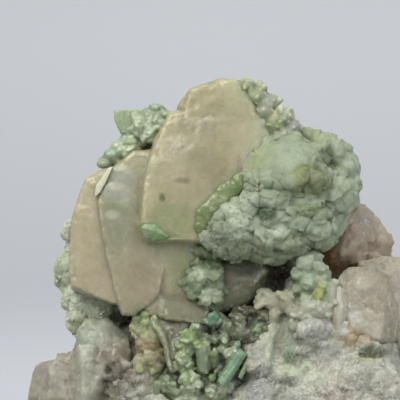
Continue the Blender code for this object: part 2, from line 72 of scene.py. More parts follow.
# The pollucite crystals, as the frame's solid has them. Each one's outline round it as (x, z), the depths of
# its front, girdle and back, how far its front is set in, how much it leans sideways and upwards, and its
# peaks
CRYSTALS = {
    "main": (
        [
            (-10.8, 63.7), (-13.5, 58.6), (-15.3, 50.7), (-16.1, 43.4), (-14.6, 40.4), (-4, 40), (4.5, 45),
            (8.6, 56.5), (7.4, 63), (4.6, 64.9), (-4, 64.6),
        ],
        -12.8, -9, 5, 0.8, (0.05, 0.1),
        [(-10.6, -13.9, 48), (-6, -13.9, 56.5), (0.8, -13.3, 59), (-1, -14.3, 48.5)],
    ),
    "summit": (
        [(-9.2, 61), (-9.1, 64.9), (-6.9, 67.9), (-1.4, 69.8), (1.6, 69.7), (5, 67), (6.6, 61)],
        -11.4, -8, 4, 1.1, (0.04, 0.12), [(-3, -11.9, 65.6)],
    ),
    "middle": (
        [
            (-20.9, 53.9), (-23.5, 48.2), (-22.5, 41), (-20.3, 31.8), (-19, 27.4), (-16.8, 27.3),
            (-12.1, 30.4), (-11.2, 35.6), (-11.7, 54), (-14, 57.1), (-17, 57),
        ],
        -11.5, -8, 3, 0.6, (-0.04, 0.05), [(-17.8, -12.1, 47), (-16, -12, 36)],
    ),
    "left": (
        [
            (-19.5, 54.2), (-23.4, 53.2), (-25.4, 51.8), (-26.5, 49.2), (-27.7, 45), (-28.5, 38.6),
            (-28.2, 32), (-20, 29.2), (-17, 31), (-16.5, 50),
        ],
        -9.8, -5, 3.5, 0.55, (-0.16, 0.06), [(-24.4, -10.1, 44), (-23.8, -10.4, 36)],
    ),
    "blade": (
        [(-12.8, 41.8), (-12.6, 33.4), (-12, 28.6), (-6, 28.2), (-4.8, 35.4), (-5.2, 42)],
        -11.1, -9.8, 0, 0.5, (0.06, -0.1), [(-9, -11.7, 37)],
    ),
    "chip": (
        [(-15.4, 31.4), (-11.3, 31.6), (-10, 28.2), (-11.4, 27), (-14.6, 27.6)],
        -11, -10, 0, 0.4, (0.1, 0.1), [(-13, -11.4, 29.6)],
    ),
    "foot": (
        [(-12.6, 33.4), (-11.4, 26.6), (-4.2, 25.8), (-3.2, 27.6), (-3.6, 33), (-6.8, 34.6)],
        -10.7, -9.4, 3, 0.4, (0.06, 0.22), [],
    ),
    "shelf": (
        [
            (-5.6, 37.6), (6.2, 38), (7.4, 35.8), (7, 33.2), (6.2, 31.2), (3.4, 29.4), (-1.4, 27.6),
            (-4.4, 28.4), (-6.4, 33),
        ],
        -7.8, -5.4, 4, 0.8, (0.08, -0.05), [(-1.6, -9, 32.2), (4.6, -8.5, 32.8)],
    ),
}
SLIVER = (
    [(-20.5, 54), (-21.4, 53.6), (-23.5, 50.6), (-23.8, 48.5), (-22.8, 49.3), (-21.5, 51.7)],
    -11.3, -11.1, -8, 0.12, (-0.2, -0.02), [],
)

# Each crystal's colour, and the patches of other colours on its front: (x, z, half width, half height,
# colour, share). Some of them hold painted shade and painted light, as noted beside them.
CRYSTAL_COLORS = {
    "main": ((170, 164, 132), [
        (-11.7, 48.4, 0.6, 0.7, (84, 104, 62), 0.95), (-10.5, 44, 4, 4, (148, 152, 112), 0.8),
        (-4.6, 62, 5, 1.6, (154, 150, 120), 0.7), (-3.8, 61.5, 1.6, 1.9, (132, 126, 98), 0.7),
        (-6.8, 52.6, 2.8, 1.8, (178, 170, 144), 0.5), (-8.2, 51.4, 1.2, 0.4, (124, 112, 88), 0.6),
        (-1.6, 53.8, 2.6, 2.2, (146, 138, 108), 0.7), (1.5, 48, 3.4, 5, (150, 152, 114), 0.7),
        (2, 58, 5, 4, (168, 161, 130), 0.6), (-6, 58.6, 5, 3.6, (158, 152, 122), 0.7),
        # The pale strip at (-14, 53) down the main crystal's left edge is painted light on its sloping bevel
        (1.8, 54, 0.4, 2.2, (140, 118, 84), 0.6), (-14, 53, 0.9, 6, (180, 176, 146), 0.6),
        (6.4, 60, 2.2, 3.6, (164, 170, 134), 0.7),
    ]),
    "summit": ((166, 160, 126), [
        (2.4, 67.4, 3, 3, (172, 174, 138), 0.7), (-7, 66.6, 1.6, 1.2, (150, 142, 112), 0.6),
    ]),
    "middle": ((160, 156, 128), [
        (-19.8, 50.6, 3, 4, (158, 162, 146), 0.8), (-18.6, 46.8, 3.4, 1, (132, 144, 108), 0.8),
        (-19, 43.6, 3.2, 3.4, (146, 149, 122), 0.8), (-14.4, 44.8, 2.6, 9, (150, 148, 116), 0.7),
        (-19.8, 50.4, 1.3, 0.6, (226, 222, 200), 0.35), (-20.6, 45.4, 1.1, 0.7, (226, 222, 200), 0.35),
        (-16, 55, 4, 2.2, (170, 168, 136), 0.7), (-15, 34, 4, 5, (158, 148, 122), 0.7),
    ]),
    "left": ((171, 163, 135), [
        (-24, 51, 3.6, 3, (172, 168, 138), 0.7), (-26.6, 42, 0.8, 8, (182, 176, 150), 0.6),
        (-22, 32.6, 5, 3.4, (172, 160, 134), 0.6), (-25, 42, 2.6, 5, (178, 169, 140), 0.6),
    ]),
    "blade": ((158, 158, 126), [
        (-8, 38, 1, 4, (146, 152, 112), 0.7), (-11.6, 36, 0.5, 5, (170, 164, 134), 0.6),
        (-9.6, 34, 0.5, 4, (148, 146, 114), 0.6), (-9, 30.6, 3, 1, (142, 134, 104), 0.6),
    ]),
    "chip": ((160, 154, 122), []),
    "foot": ((138, 136, 108), [
        (-6.6, 28, 3.2, 1.6, (134, 131, 106), 0.7), (-8.8, 31, 2.4, 0.35, (124, 112, 84), 0.7),
        (-8, 30.2, 2.6, 0.3, (120, 110, 84), 0.6),
    ]),
    # The shelf lies in the shadow under the boss: its dark colours are painted shade over its own colour
    "shelf": ((104, 105, 79), [
        (4.4, 36.8, 4, 1.8, (96, 98, 72), 0.8), (-2.6, 36.6, 2.4, 1.4, (80, 90, 56), 0.8),
        (3.2, 34, 2.2, 0.5, (156, 152, 128), 0.7), (5.2, 34.6, 0.9, 0.7, (150, 150, 130), 0.6),
        (0.6, 34.4, 1, 0.8, (132, 118, 92), 0.7), (1.6, 30.6, 5, 1.8, (128, 130, 104), 0.8),
    ]),
}

BOSS_COLOR = (150, 160, 137)
# The boss's larger lobes on its front, and its hollows, whose rise is negative: (x, z, half width,
# half height, turn in degrees, rise)
BOSS_LOBES = [
    (9.9, 54.3, 6.1, 4.3, 15, 1), (13, 59.3, 2.5, 1.3, -5, 0.7), (16.2, 58.8, 2.2, 1.4, -20, 0.8),
    (18.9, 57, 1.8, 1.6, -40, 0.9), (21.1, 54.3, 1.8, 2.2, 0, 0.9), (22, 51.2, 1.5, 1.8, 0, 0.8),
    (21.2, 48.4, 1.5, 1.5, 0, 0.8), (5.7, 50.2, 0.95, 0.75, 0, 1.1), (3.4, 52, 1.1, 0.9, 0, 0.8),
    (2.3, 50.3, 0.9, 0.8, 0, 0.7), (7, 48.2, 3.1, 1.8, 5, 1.2), (14.2, 47.1, 2.9, 1.9, 0, 1.1),
    (16.7, 45.3, 2.5, 1.3, 30, 1.1), (12.6, 43.5, 2.4, 1.7, 22, 1.2), (17.5, 42.4, 1.8, 1.2, 30, 1),
    (9, 42.2, 1.8, 1.5, 0, 0.9), (14.4, 40.8, 2.2, 1.3, 10, 0.9), (11.2, 39.9, 2.2, 1.1, 0, 0.8),
    (0.7, 44, 3.6, 3.2, 0, 0.8), (-2.3, 41.2, 1.8, 2.1, 0, 0.7), (-0.5, 39, 2.5, 1.4, -10, 0.7),
    (4, 39, 2.5, 1.4, 0, 0.8), (6.1, 40.8, 1.8, 1.4, 0, 0.8), (3.2, 46.9, 1.4, 1.4, 0, 0.8),
    (13, 52.5, 1.4, 1.8, 0, 1.2), (15.3, 51.6, 1.5, 1.8, 0, 1.1), (19.6, 50.7, 1.6, 1.6, 0, 0.9),
    (20.3, 47.1, 1.8, 1.6, 0, 0.9), (18.9, 48.7, 1.4, 1.4, 0, 0.8), (4.3, 57, 2.5, 1.8, 30, 0.8),
    (6.1, 58.3, 2.5, 1.4, 25, 0.7), (2.7, 54.7, 1.5, 1.5, 0, 0.8), (17.6, 56.5, 1.3, 1.5, 0, -0.8),
    (18.7, 54.1, 1, 1.2, 0, -0.7), (6.2, 45.4, 1.6, 1.8, 0, -0.8),
]
# Painted shade: the dark green patches in the boss's hollows at (6.2, 45.6), (17.6, 56.4) and (18.6, 54.2).
# The darker band along its lower edge, at (2, 38.8) and (13, 40.6), is partly its own colour and partly
# painted shade
BOSS_PATCHES = [
    (9.5, 55, 6.5, 4.5, (144, 155, 128), 0.9), (10.4, 49.6, 4.5, 3, (132, 142, 116), 0.7),
    (12.6, 52.4, 1.5, 1.5, (130, 134, 86), 0.85), (15.6, 51.6, 2.4, 2.8, (112, 118, 80), 0.8),
    (13.6, 50, 3.4, 1.4, (118, 128, 88), 0.6), (6.2, 45.6, 1.9, 1.2, (66, 86, 52), 0.95),
    (17.6, 56.4, 1, 1.2, (70, 84, 58), 0.9), (18.6, 54.2, 0.7, 1, (78, 92, 62), 0.9),
    (5.7, 50.2, 0.8, 0.6, (190, 194, 166), 0.9), (9, 42.2, 1.2, 0.8, (206, 206, 196), 0.5),
    (1.2, 44, 4, 3.4, (166, 175, 152), 0.7), (-1.4, 43.6, 1.4, 1.4, (118, 128, 104), 0.7),
    (21, 56, 2.4, 4, (152, 162, 134), 0.7), (21.6, 49.6, 1.8, 3.4, (160, 169, 144), 0.7),
    (16, 59, 3.4, 1.4, (138, 148, 112), 0.7), (4.5, 56.5, 3, 3, (146, 156, 118), 0.7),
    (14, 46.6, 2.4, 1.4, (124, 136, 92), 0.6), (2, 38.8, 6.4, 1.8, (116, 124, 96), 0.7),
    (13, 40.6, 5.4, 1.8, (118, 124, 96), 0.7), (-2, 40.6, 1.6, 2.4, (124, 130, 108), 0.6),
]

# Colour patches of the other crusts, in the same form
CRUST_PATCHES = {
    "mint_crest": [
        (1.9, 69, 1.8, 1.4, (168, 174, 136), 0.9), (6.9, 66, 1.4, 1.6, (150, 150, 142), 0.8),
        (11.8, 61, 1.6, 1.6, (150, 150, 142), 0.8), (8, 61.6, 1.4, 1.8, (122, 134, 84), 0.8),
        (8.2, 63.2, 1.2, 0.9, (182, 182, 152), 0.8), (4.8, 66.6, 1.8, 2, (150, 160, 120), 0.8),
    ],
    "mint_pillar": [
        (16.4, 32.2, 0.8, 1.6, (158, 164, 92), 0.8), (13.6, 33, 1.4, 2, (136, 156, 120), 0.7),
        (14.4, 37, 2.2, 1.8, (158, 170, 146), 0.8), (14.6, 28, 6.4, 2.2, (172, 173, 155), 0.95),
        (8, 29.6, 4, 3, (178, 174, 150), 0.95), (12.2, 30.2, 0.9, 1.2, (112, 116, 94), 0.8),
        (18.6, 30, 1, 3, (176, 174, 156), 0.8),
    ],
    # The near-black patch at (-19.6, 27) is painted shade in a cavity under the left crust
    "mint_crust_left": [
        (-29.6, 35, 1.8, 3.6, (168, 180, 152), 0.8), (-29.2, 42, 1.4, 2.2, (188, 190, 172), 0.8),
        (-24, 27.6, 4, 2.4, (148, 156, 132), 0.8), (-19.6, 27, 1.8, 1, (56, 56, 40), 0.9),
        (-27, 25.4, 1.2, 1.4, (132, 138, 96), 0.8),
    ],
    "mint_crust_centre": [
        (-5.1, 34.9, 1.1, 1.2, (176, 184, 160), 0.8), (-3, 31.2, 1.4, 1, (176, 184, 160), 0.8),
        (-3, 37.6, 2, 1.5, (70, 90, 50), 0.95), (-6.6, 33, 1.2, 1.6, (126, 140, 106), 0.8),
        (-1.8, 34, 1.2, 1.6, (138, 150, 122), 0.7),
    ],
    "mint_crust_column": [
        (-15.4, 27, 1, 2.4, (138, 148, 100), 0.9), (-13.4, 26, 0.8, 3, (170, 172, 130), 0.8),
        (-16.9, 24, 0.5, 0.6, (150, 150, 80), 0.8), (-15, 22, 1.8, 1.4, (140, 128, 98), 0.9),
        (-13, 20.6, 1.6, 2.6, (134, 122, 88), 0.9), (-12, 19.6, 0.9, 0.7, (70, 60, 42), 0.9),
        (-14.4, 17.6, 2.6, 1.2, (150, 150, 114), 0.8),
    ],
}
CRUST_COLORS = {
    "mint_crest": (176, 180, 154), "mint_pillar": (166, 173, 148), "mint_crust_left": (208, 213, 192),
    "mint_crust_centre": (114, 125, 94), "mint_crust_column": (176, 176, 140),
}

ROCK_COLOR = (165, 165, 149)
# Painted shade: the dark patches in the hollows at (11.8, 29.5), (9.4, 16), (24.9, 20.9) and (-18.6, 26.6),
# in the recess behind the boss at (9.2, 36.2) and (10.4, 38.6), and in the quartz's star hollow at (-18.8,
# 15.8)
ROCK_PATCHES = [
    (8.6, 29.6, 2.6, 2.4, (186, 180, 156), 0.9), (5.6, 31.6, 1.6, 1, (178, 172, 148), 0.8),
    (11.8, 29.5, 0.9, 1.4, (100, 104, 84), 0.9), (14.6, 29, 1.4, 1.6, (176, 180, 160), 0.7),
    (11.2, 20.9, 1.5, 1.5, (148, 168, 140), 0.9), (11.2, 23, 2.4, 0.6, (126, 132, 108), 0.8),
    (24.9, 20.9, 2.8, 0.8, (92, 96, 70), 0.95), (25.4, 20, 2.6, 0.5, (168, 164, 132), 0.8),
    (22.3, 23.2, 2.4, 1.3, (158, 132, 92), 0.7), (7, 21, 0.8, 4, (178, 186, 162), 0.8),
    (8.8, 24.6, 1.4, 2.4, (150, 154, 130), 0.7), (9, 14.6, 4.4, 2.2, (150, 150, 138), 0.7),
    (5, 14.8, 2.2, 2.2, (152, 154, 152), 0.8), (9.4, 16, 2.6, 0.8, (96, 100, 84), 0.9),
    (6, 17.2, 1.6, 1.2, (142, 144, 140), 0.7), (12, 18.4, 4, 1.4, (176, 184, 156), 0.7),
    (19.4, 14.2, 2.6, 1.8, (172, 160, 148), 0.8), (20.4, 14.5, 0.8, 0.4, (62, 64, 44), 0.9),
    (15.6, 24.6, 2.4, 2.6, (156, 156, 146), 0.8), (18.2, 20.6, 2, 2, (160, 160, 150), 0.7),
    (26.6, 17.4, 3.4, 2.4, (164, 164, 149), 0.8), (15.4, 16.4, 2.2, 1.2, (184, 188, 166), 0.7),
    (9.2, 36.2, 2.2, 3.4, (84, 70, 48), 0.95), (10.4, 38.6, 3.4, 1.6, (62, 54, 38), 0.95),
    (-31.4, 15.6, 3.4, 4, (156, 148, 132), 0.8), (-25.4, 17.6, 2.4, 5.6, (150, 150, 132), 0.7),
    (-18.8, 15.8, 2.8, 2.4, (98, 90, 76), 0.85), (-11.8, 16.6, 2.4, 1.8, (140, 132, 98), 0.85),
    (-12.4, 20.8, 1.8, 2, (96, 92, 66), 0.85), (-10, 13, 2, 1.6, (160, 166, 138), 0.8),
    (-18.6, 26.6, 2.4, 1.4, (60, 60, 44), 0.9), (-15.4, 20, 1.6, 3, (140, 138, 104), 0.8),
]
ROCK_LOBES = [
    (8.5, 29.6, 2.8, 2.4, 0, 1.1), (5.6, 31.4, 1.8, 1, 20, 0.9), (11, 27.2, 1.6, 1.6, 0, 0.9),
    (11.8, 29.5, 1, 1.4, 0, -1.4), (9.4, 16.2, 3, 1, -25, -1.4), (25, 20.9, 2.8, 0.8, -8, -1.8),
    (11.2, 20.9, 1.6, 1.6, 0, 1), (5.2, 14.8, 2.3, 2.2, 0, 0.9), (22, 17, 3.4, 2.2, 10, 0.9),
    (28.3, 15.6, 3.4, 2.6, 0, 0.9), (15, 25.4, 2.8, 3.4, 0, 0.7), (18, 21.6, 2.4, 1.8, 20, 0.6),
    (14.6, 14.4, 3, 1.6, -10, 0.8), (7, 20.6, 0.9, 4.4, -12, 0.9), (-11.8, 16.4, 2.4, 1.8, 20, 1.1),
    (-9, 13.5, 1.6, 1.2, 0, 0.9), (-15.2, 18.6, 1.6, 3.4, 10, 0.7),
]

POCKET_COLOR = (150, 161, 128)
# Painted shadow: the near-black patches at (-1.7, 18.1), (1.7, 16.2), (-11.1, 19.9) and (-2.6, 24.6),
# between the pocket's crystals
POCKET_PATCHES = [
    (-5, 27.6, 3.4, 1.4, (142, 148, 122), 0.8), (-12.4, 25, 1.8, 3, (140, 146, 116), 0.8),
    (5.4, 24.8, 1.5, 1.1, (112, 142, 100), 0.8), (1.4, 23.7, 1.8, 1.2, (138, 144, 120), 0.8),
    (-1.7, 18.1, 1.4, 1.4, (42, 48, 28), 0.9), (1.7, 16.2, 1, 1.4, (42, 50, 30), 0.9),
    (-11.1, 19.9, 1.2, 1.4, (46, 44, 28), 0.9), (-2.6, 24.6, 1.4, 1.6, (62, 66, 44), 0.9),
    (-3.6, 13.8, 5, 2.8, (186, 194, 168), 0.9), (-0.8, 17, 1.4, 2, (160, 172, 146), 0.7),
    (-2.9, 26.2, 1.9, 0.6, (180, 190, 168), 0.9),
]

# Tourmaline crystals, given one by one: tip (x, y, z), root (x, y, z), radius, colour
YELLOW_LEAF = (134, 152, 94)
SHADE_LEAF = (116, 140, 84)
GREY_LEAF = (138, 152, 124)
PALE_LEAF = (164, 176, 146)
PRISMS = [
    ((-7.4, -13, 23.9), (-6.6, -7, 22.8), 1.7, (122, 148, 84)),
    ((-5.4, -12.6, 22.6), (-5.4, -7, 22), 1.2, YELLOW_LEAF),
    ((-8.9, -12.4, 22), (-7.6, -7, 21.6), 1.1, SHADE_LEAF),
    ((-6.2, -12.1, 25.6), (-5.8, -7, 24.4), 0.9, GREY_LEAF),
    ((-8.6, -12.9, 20.2), (-7.6, -7, 19.6), 1.5, YELLOW_LEAF),
    ((-7, -12.4, 18.8), (-6.6, -7, 18.6), 1.1, SHADE_LEAF),
    ((-9.9, -12.3, 18.9), (-8.4, -7, 18.4), 1.1, YELLOW_LEAF),
    ((-8.2, -12, 17.4), (-7.2, -7, 17.4), 0.9, SHADE_LEAF),
    ((-4.7, -12.3, 22), (-4.4, -10.2, 17.6), 1.15, GREY_LEAF),
    ((-2.5, -12, 21.4), (-2.3, -9.6, 18), 0.95, (112, 128, 94)),
    ((-0.1, -12.2, 20.9), (0.2, -7, 20.2), 1.2, PALE_LEAF),
    ((-2.6, -11.7, 23.2), (-2.3, -7, 22.6), 0.8, GREY_LEAF),
    ((-0.7, -11.5, 23.2), (-0.6, -7, 22.6), 0.75, PALE_LEAF),
    ((1.5, -11.7, 22.6), (1.2, -7, 21.9), 0.75, GREY_LEAF),
    ((2.5, -12, 21.5), (-1.3, -12, 15), 1.25, (112, 150, 118)),
    ((3.7, -11.4, 19.4), (1.9, -11.6, 16.4), 0.55, GREY_LEAF),
    ((-7.4, -12.5, 16), (-6.6, -7, 15.9), 1.25, SHADE_LEAF),
    ((-5.2, -12.4, 15.2), (-5, -7, 15.4), 0.9, PALE_LEAF),
    ((-3, -12, 16.6), (-3, -7, 16.4), 0.8, SHADE_LEAF),
    ((-3.2, -12.8, 13.8), (-3.2, -7, 14.4), 1.1, PALE_LEAF),
    ((-5.3, -12.4, 25.6), (-5.2, -8, 25.4), 0.75, PALE_LEAF),
    ((-2.7, -12.8, 27.1), (-2.6, -8, 26.9), 1.35, (62, 118, 88)),
]

# The crusts of small grown crystals. Each row: node, how many crystals, their smallest and largest radius,
# the skin's voxel, listed crystals as (tip, root, radius, colour), and lumps as (x, y, z, half width,
# half depth, half height)
GROWN_CRUSTS = [
    ("mint_crest", 300, 0.26, 0.62, 0.24, [], [
        (3.4, -9.2, 68.4, 1.5, 2.4, 1.3), (5, -9.2, 66.2, 1.6, 2.6, 1.5), (6.4, -9.6, 63.8, 1.5, 2.6, 1.7),
        (8, -9.8, 61.2, 1.7, 2.6, 1.8), (9.8, -9, 62.8, 1.8, 2.6, 1.6), (7.6, -8, 65.4, 1.7, 2.6, 1.6),
        (11.2, -8.6, 60.6, 1.8, 2.4, 1.4), (5.6, -7.6, 67.8, 1.4, 2.2, 1.2),
        (9.6, -9.6, 59.4, 2.2, 2.6, 1.6),
    ]),
    ("mint_pillar", 130, 0.26, 0.75, 0.22, [
        ((13.6, -13.9, 37.2), (14.2, -8, 35), 1.7, (166, 178, 152)),
        ((16.4, -13.4, 36.4), (15.6, -8, 34.6), 1.35, (150, 162, 134)),
        ((11.8, -13.3, 35), (13, -8, 34), 1.3, (140, 158, 128)),
        ((14.2, -14.2, 33.6), (14.2, -8, 32.8), 1.6, (150, 166, 138)),
        ((16.9, -13.6, 33.2), (15.8, -8, 32.6), 1.2, (150, 160, 126)),
        ((12.2, -13.2, 32.2), (13.2, -8, 32), 1.2, (128, 146, 116)),
        ((15.9, -14.2, 31.4), (15.2, -8, 31.4), 1.2, (160, 164, 96)),
        ((13.6, -13.9, 30.4), (13.8, -8, 30.6), 1.3, (160, 168, 146)),
    ], [
        (14.6, -12.4, 28.4, 4.6, 2.4, 2.2), (18.4, -12, 30.6, 1.2, 2.2, 3.4),
        (10.6, -11.2, 30, 1.8, 2.4, 2.2), (8.6, -9.2, 29.8, 2.6, 2.4, 1.8), (6.4, -9, 31.6, 1.5, 1.8, 0.8),
        (5.6, -9.2, 29.8, 1.2, 1.6, 0.8), (8.2, -9.6, 27.4, 1.3, 2, 1.4), (12, -12, 25.8, 1.6, 1.8, 1.6),
    ]),
    ("mint_crust_centre", 90, 0.5, 1.3, 0.19, [], [
        (-6.2, -10.9, 33, 2.2, 1.3, 2.2), (-3.4, -10.7, 31.4, 2.4, 1.4, 2),
        (-4.7, -10.8, 35.4, 2, 1.3, 1.8), (-2.4, -10, 34.2, 1.6, 1.4, 2), (-4.4, -11.2, 38.6, 2, 1, 0.8),
    ]),
    ("mint_crust_column", 50, 0.55, 1.1, 0.2, [
        ((-14.9, -10.9, 28.2), (-14.9, -9, 24.2), 0.9, (128, 148, 98)),
        ((-16.4, -10.3, 27.6), (-16.2, -8.6, 24.6), 0.8, (150, 156, 112)),
        ((-13.5, -10.8, 26.6), (-13.4, -9, 23), 0.8, (168, 170, 126)),
        ((-15.9, -10.6, 22.8), (-15.2, -8.8, 20.4), 1, (142, 126, 96)),
        ((-13.6, -10.9, 22.4), (-13.8, -9, 19.6), 0.9, (128, 116, 84)),
    ], [
        (-13.4, -9.4, 22.6, 1.7, 1.5, 3.4), (-12.6, -10, 19.4, 1.4, 1.7, 2), (-15.2, -9.2, 19, 1.9, 1.6, 2),
        (-14.2, -9.4, 27.4, 2.6, 1.2, 1.6),
    ]),
]

# The quartz bodies. Each one's seed, how rough its facets are, its colour and its patches
QUARTZ = {
    "quartz_right": (60, 0.35, (158, 151, 131), [
        (23.9, 33.1, 1.3, 1, (206, 206, 196), 0.8), (22.5, 27.2, 1.2, 1, (206, 206, 196), 0.7),
        (20, 30, 0.8, 6, (190, 188, 172), 0.8), (22.4, 23.4, 2.5, 1.4, (160, 126, 76), 0.8),
        (25.6, 31, 2.6, 3.6, (162, 152, 130), 0.8), (26.6, 25.4, 2.4, 2, (170, 164, 144), 0.7),
        (30.4, 30.6, 1.8, 7, (166, 157, 139), 0.9),
    ]),
    "smoky_quartz": (62, 0.9, (172, 157, 136), [
        (17.7, 37.6, 2, 3.4, (188, 146, 104), 0.9), (19, 41, 2.4, 2.4, (132, 110, 84), 0.6),
        # The dark patch at (21.6, 36) is painted shadow in the hole under the smoky quartz
        (21.6, 36, 3.2, 1, (112, 86, 62), 0.8), (26.4, 43.6, 2.6, 2, (168, 158, 144), 0.7),
        (24, 40, 2.6, 2.4, (164, 150, 130), 0.7),
    ]),
    "quartz_left": (61, 0.5, (158, 153, 136), [
        (-20.4, 20.6, 2.6, 1.9, (132, 122, 103), 0.95), (-25.6, 16, 2, 6, (166, 166, 149), 0.9),
        # Painted shade: the dark brown patches at (-19, 15.6), (-17.2, 16) and (-20.8, 13.4), in the star
        # hollow
        (-31.8, 14, 3, 4, (160, 153, 138), 0.8), (-19, 15.6, 2.8, 3, (94, 86, 72), 0.95),
        (-17.2, 16, 1.6, 1.4, (84, 74, 60), 0.9), (-20.8, 13.4, 2, 0.8, (112, 98, 88), 0.8),
        (-25, 24.6, 3.4, 2.6, (156, 164, 142), 0.95), (-19.4, 24.4, 2.4, 1.6, (118, 124, 102), 0.9),
    ]),
}
QUARTZ_RIGHT_LUMPS = [
    (21.6, -11.4, 24.4, 2.8, 2.2, 3.4), (19.4, -12.4, 28, 1.4, 1.8, 5),
]
# The corners of the lower left quartz's larger blocks, and the tips of the star of blades at their foot
QUARTZ_LEFT_BLOCKS = [
    [
        (-28.4, -6.6, 6), (-28.2, -6.8, 20.6), (-26.8, -8.4, 22.2), (-24, -8.6, 22.6), (-22.8, -7.2, 21),
        (-22.8, -7.4, 6), (-25.8, -9.6, 6), (-25.8, -9.4, 19), (-28.2, -2, 6), (-22.8, -2, 20),
    ],
    [
        (-23.4, -7.6, 18.4), (-22.9, -7.8, 21.6), (-19.8, -8.2, 22.8), (-17.2, -7.2, 21.2),
        (-17.6, -7.6, 18), (-20.4, -9.7, 19.2), (-20.6, -9.2, 21.4), (-22.8, -2, 18.6), (-17.6, -2, 20.8),
    ],
    [
        (-36, -3, 12), (-34.6, -4.6, 18.4), (-31, -6.8, 19.6), (-28.2, -6.4, 18.2), (-28.4, -7.6, 12),
        (-32, -8, 12.4), (-31.6, -7.8, 16.6), (-34, 2, 18), (-28.4, 1, 18), (-30, 1, 8),
    ],
    [
        (-27.8, -6, 19), (-27.2, -5.8, 24.4), (-25, -5.6, 27), (-21.6, -5.8, 26.8), (-17.8, -6.2, 23.6),
        (-17.4, -7.4, 20), (-22.4, -7.8, 22.4), (-25.6, -7.4, 20), (-25, -1, 20), (-18.4, -1, 21),
        (-22, 0, 26.4),
    ],
]
STAR_TIPS = [(-22, 19.4), (-19, 20.2), (-22.8, 16.6), (-22, 13.4), (-19.4, 12.6)]

SPRAY_PATCHES = [
    (-14.6, 57.8, 1.4, 0.7, (96, 94, 62), 0.9), (-11.6, 64.2, 1.2, 1.2, (146, 168, 124), 0.8),
    (-19, 57.8, 2.4, 1.8, (206, 220, 186), 0.8), (-20.6, 56.4, 0.9, 0.6, (160, 190, 160), 0.8),
    (-22.4, 54.4, 1.4, 1, (172, 178, 152), 0.8),
]
SPRAY_LUMPS = [
    (-12.6, -6, 62.4, 1.5, 2.2, 1.7), (-14, -6.2, 60.6, 1.6, 2.2, 1.3), (-17.9, -4.8, 58.9, 1.6, 1.6, 1.2),
    (-19.6, -4.7, 57.5, 1.6, 1.6, 1.3), (-20.9, -4.7, 56, 1.5, 1.5, 1.2),
    (-22.2, -4.9, 54.5, 1.4, 1.4, 0.9),
]
SPRAY_PLATE = (
    [(-20.4, 64), (-15.2, 64.2), (-14.6, 62.4), (-16.4, 61), (-18.7, 60.2), (-19.5, 60.3), (-20.4, 62.3)],
    -6.8, -6.5, -4.9, 0.25, (0.1, 0.05), [],
)

# The pocket's flap of crust: the path of its ridge as (x, z), and its sheet. Then the ring beside it
FLAP_PATH = [(-13.3, 27.6), (-13.2, 26), (-11.9, 24.3), (-11, 22), (-10.6, 19.6), (-10.2, 18)]
FLAP_SHEET = (
    [
        (-13.6, 28.4), (-13, 25.9), (-11.8, 24.2), (-10.9, 21.8), (-10.4, 19), (-9.4, 19.6), (-8.8, 22.6),
        (-8.2, 25), (-6.4, 26.8), (-6.6, 29.4), (-11, 29.6),
    ],
    -10.9, -10.2, -7, 0.4, (-0.04, 0.3), [],
)
RING_LUMPS = [
    (3.2, -9.2, 28.3, 2.6, 2.4, 0.9), (6.2, -9.2, 27.4, 1.4, 2.2, 1.4), (1.9, -9.8, 26.7, 1.5, 2, 1.5),
    (2.3, -10, 24.3, 2.5, 2.2, 1.3), (6.6, -9.8, 24.8, 1.2, 1.6, 1.6), (4.6, -9.8, 23.3, 1.8, 1.8, 0.8),
]
RING_STONE = [((5.7, -11, 24.9), (4.8, -7.6, 25.2), 1.45, (118, 150, 106))]
# The near-black patch at (3.7, 26.3) is painted shade in the ring's hollow
RING_PATCHES = [
    (4.6, 28.2, 3.2, 0.9, (92, 93, 68), 0.9), (3.7, 26.3, 0.8, 0.7, (40, 46, 30), 0.97),
    (2, 27.2, 1.3, 0.9, (116, 117, 90), 0.8), (7, 26.6, 0.9, 1.6, (108, 110, 84), 0.8),
]

RIM_PATH = [(1.7, 51), (-0.4, 49.3), (-2.6, 47.2), (-4.2, 45.2), (-4.5, 43.2)]
RIM_PATCHES = [
    (1.4, 50.8, 1.6, 1.2, (112, 134, 78), 0.8), (-1.6, 48.4, 1.4, 0.9, (150, 160, 116), 0.7),
    (-4.8, 44, 0.9, 1.6, (112, 122, 74), 0.8),
]
BEAD = (
    [
        (-15.8, 43.2), (-15, 44), (-12.8, 43.9), (-11.4, 42.8), (-10.2, 41.5), (-11.4, 40.9), (-13.4, 40.5),
        (-15, 41.3),
    ],
    -14.6, -14, -12, 0.6, (0, 0), [(-13.2, -15, 42.6)],
)
BEAD_PATCHES = [
    (-12.6, 42.4, 1.4, 0.8, (138, 160, 112), 0.8), (-15, 41.8, 0.8, 1, (150, 160, 124), 0.7),
]

# The size of the crusts' grains, how far a lump reaches as a share of its size, and the darkest and
# lightest tint
GRAIN = 0.5
LUMP_REACH = 0.95
TINT_LIMITS = (0.01, 0.95)

# The floor and the backdrop it sweeps up into, in metres
FLOOR_FRONT = -1.2
FLOOR_BACK = 0.16
BEND = 0.12
BACKDROP_TOP = 1.4
BACKDROP_HALF_WIDTH = 1.6


def hashed(cells, seed):
    """A repeatable number from 0 to 1 for each whole-numbered cell."""
    x, y, z = (cells[:, k].astype(np.int64) for k in range(3))
    mixed = (x * 73856093) ^ (y * 19349663) ^ (z * 83492791) ^ (seed * 2654435761)
    mixed = (mixed ^ (mixed >> 13)) * 1274126177
    mixed = mixed ^ (mixed >> 16)
    return (mixed & 0xFFFFFF) / float(0xFFFFFF)


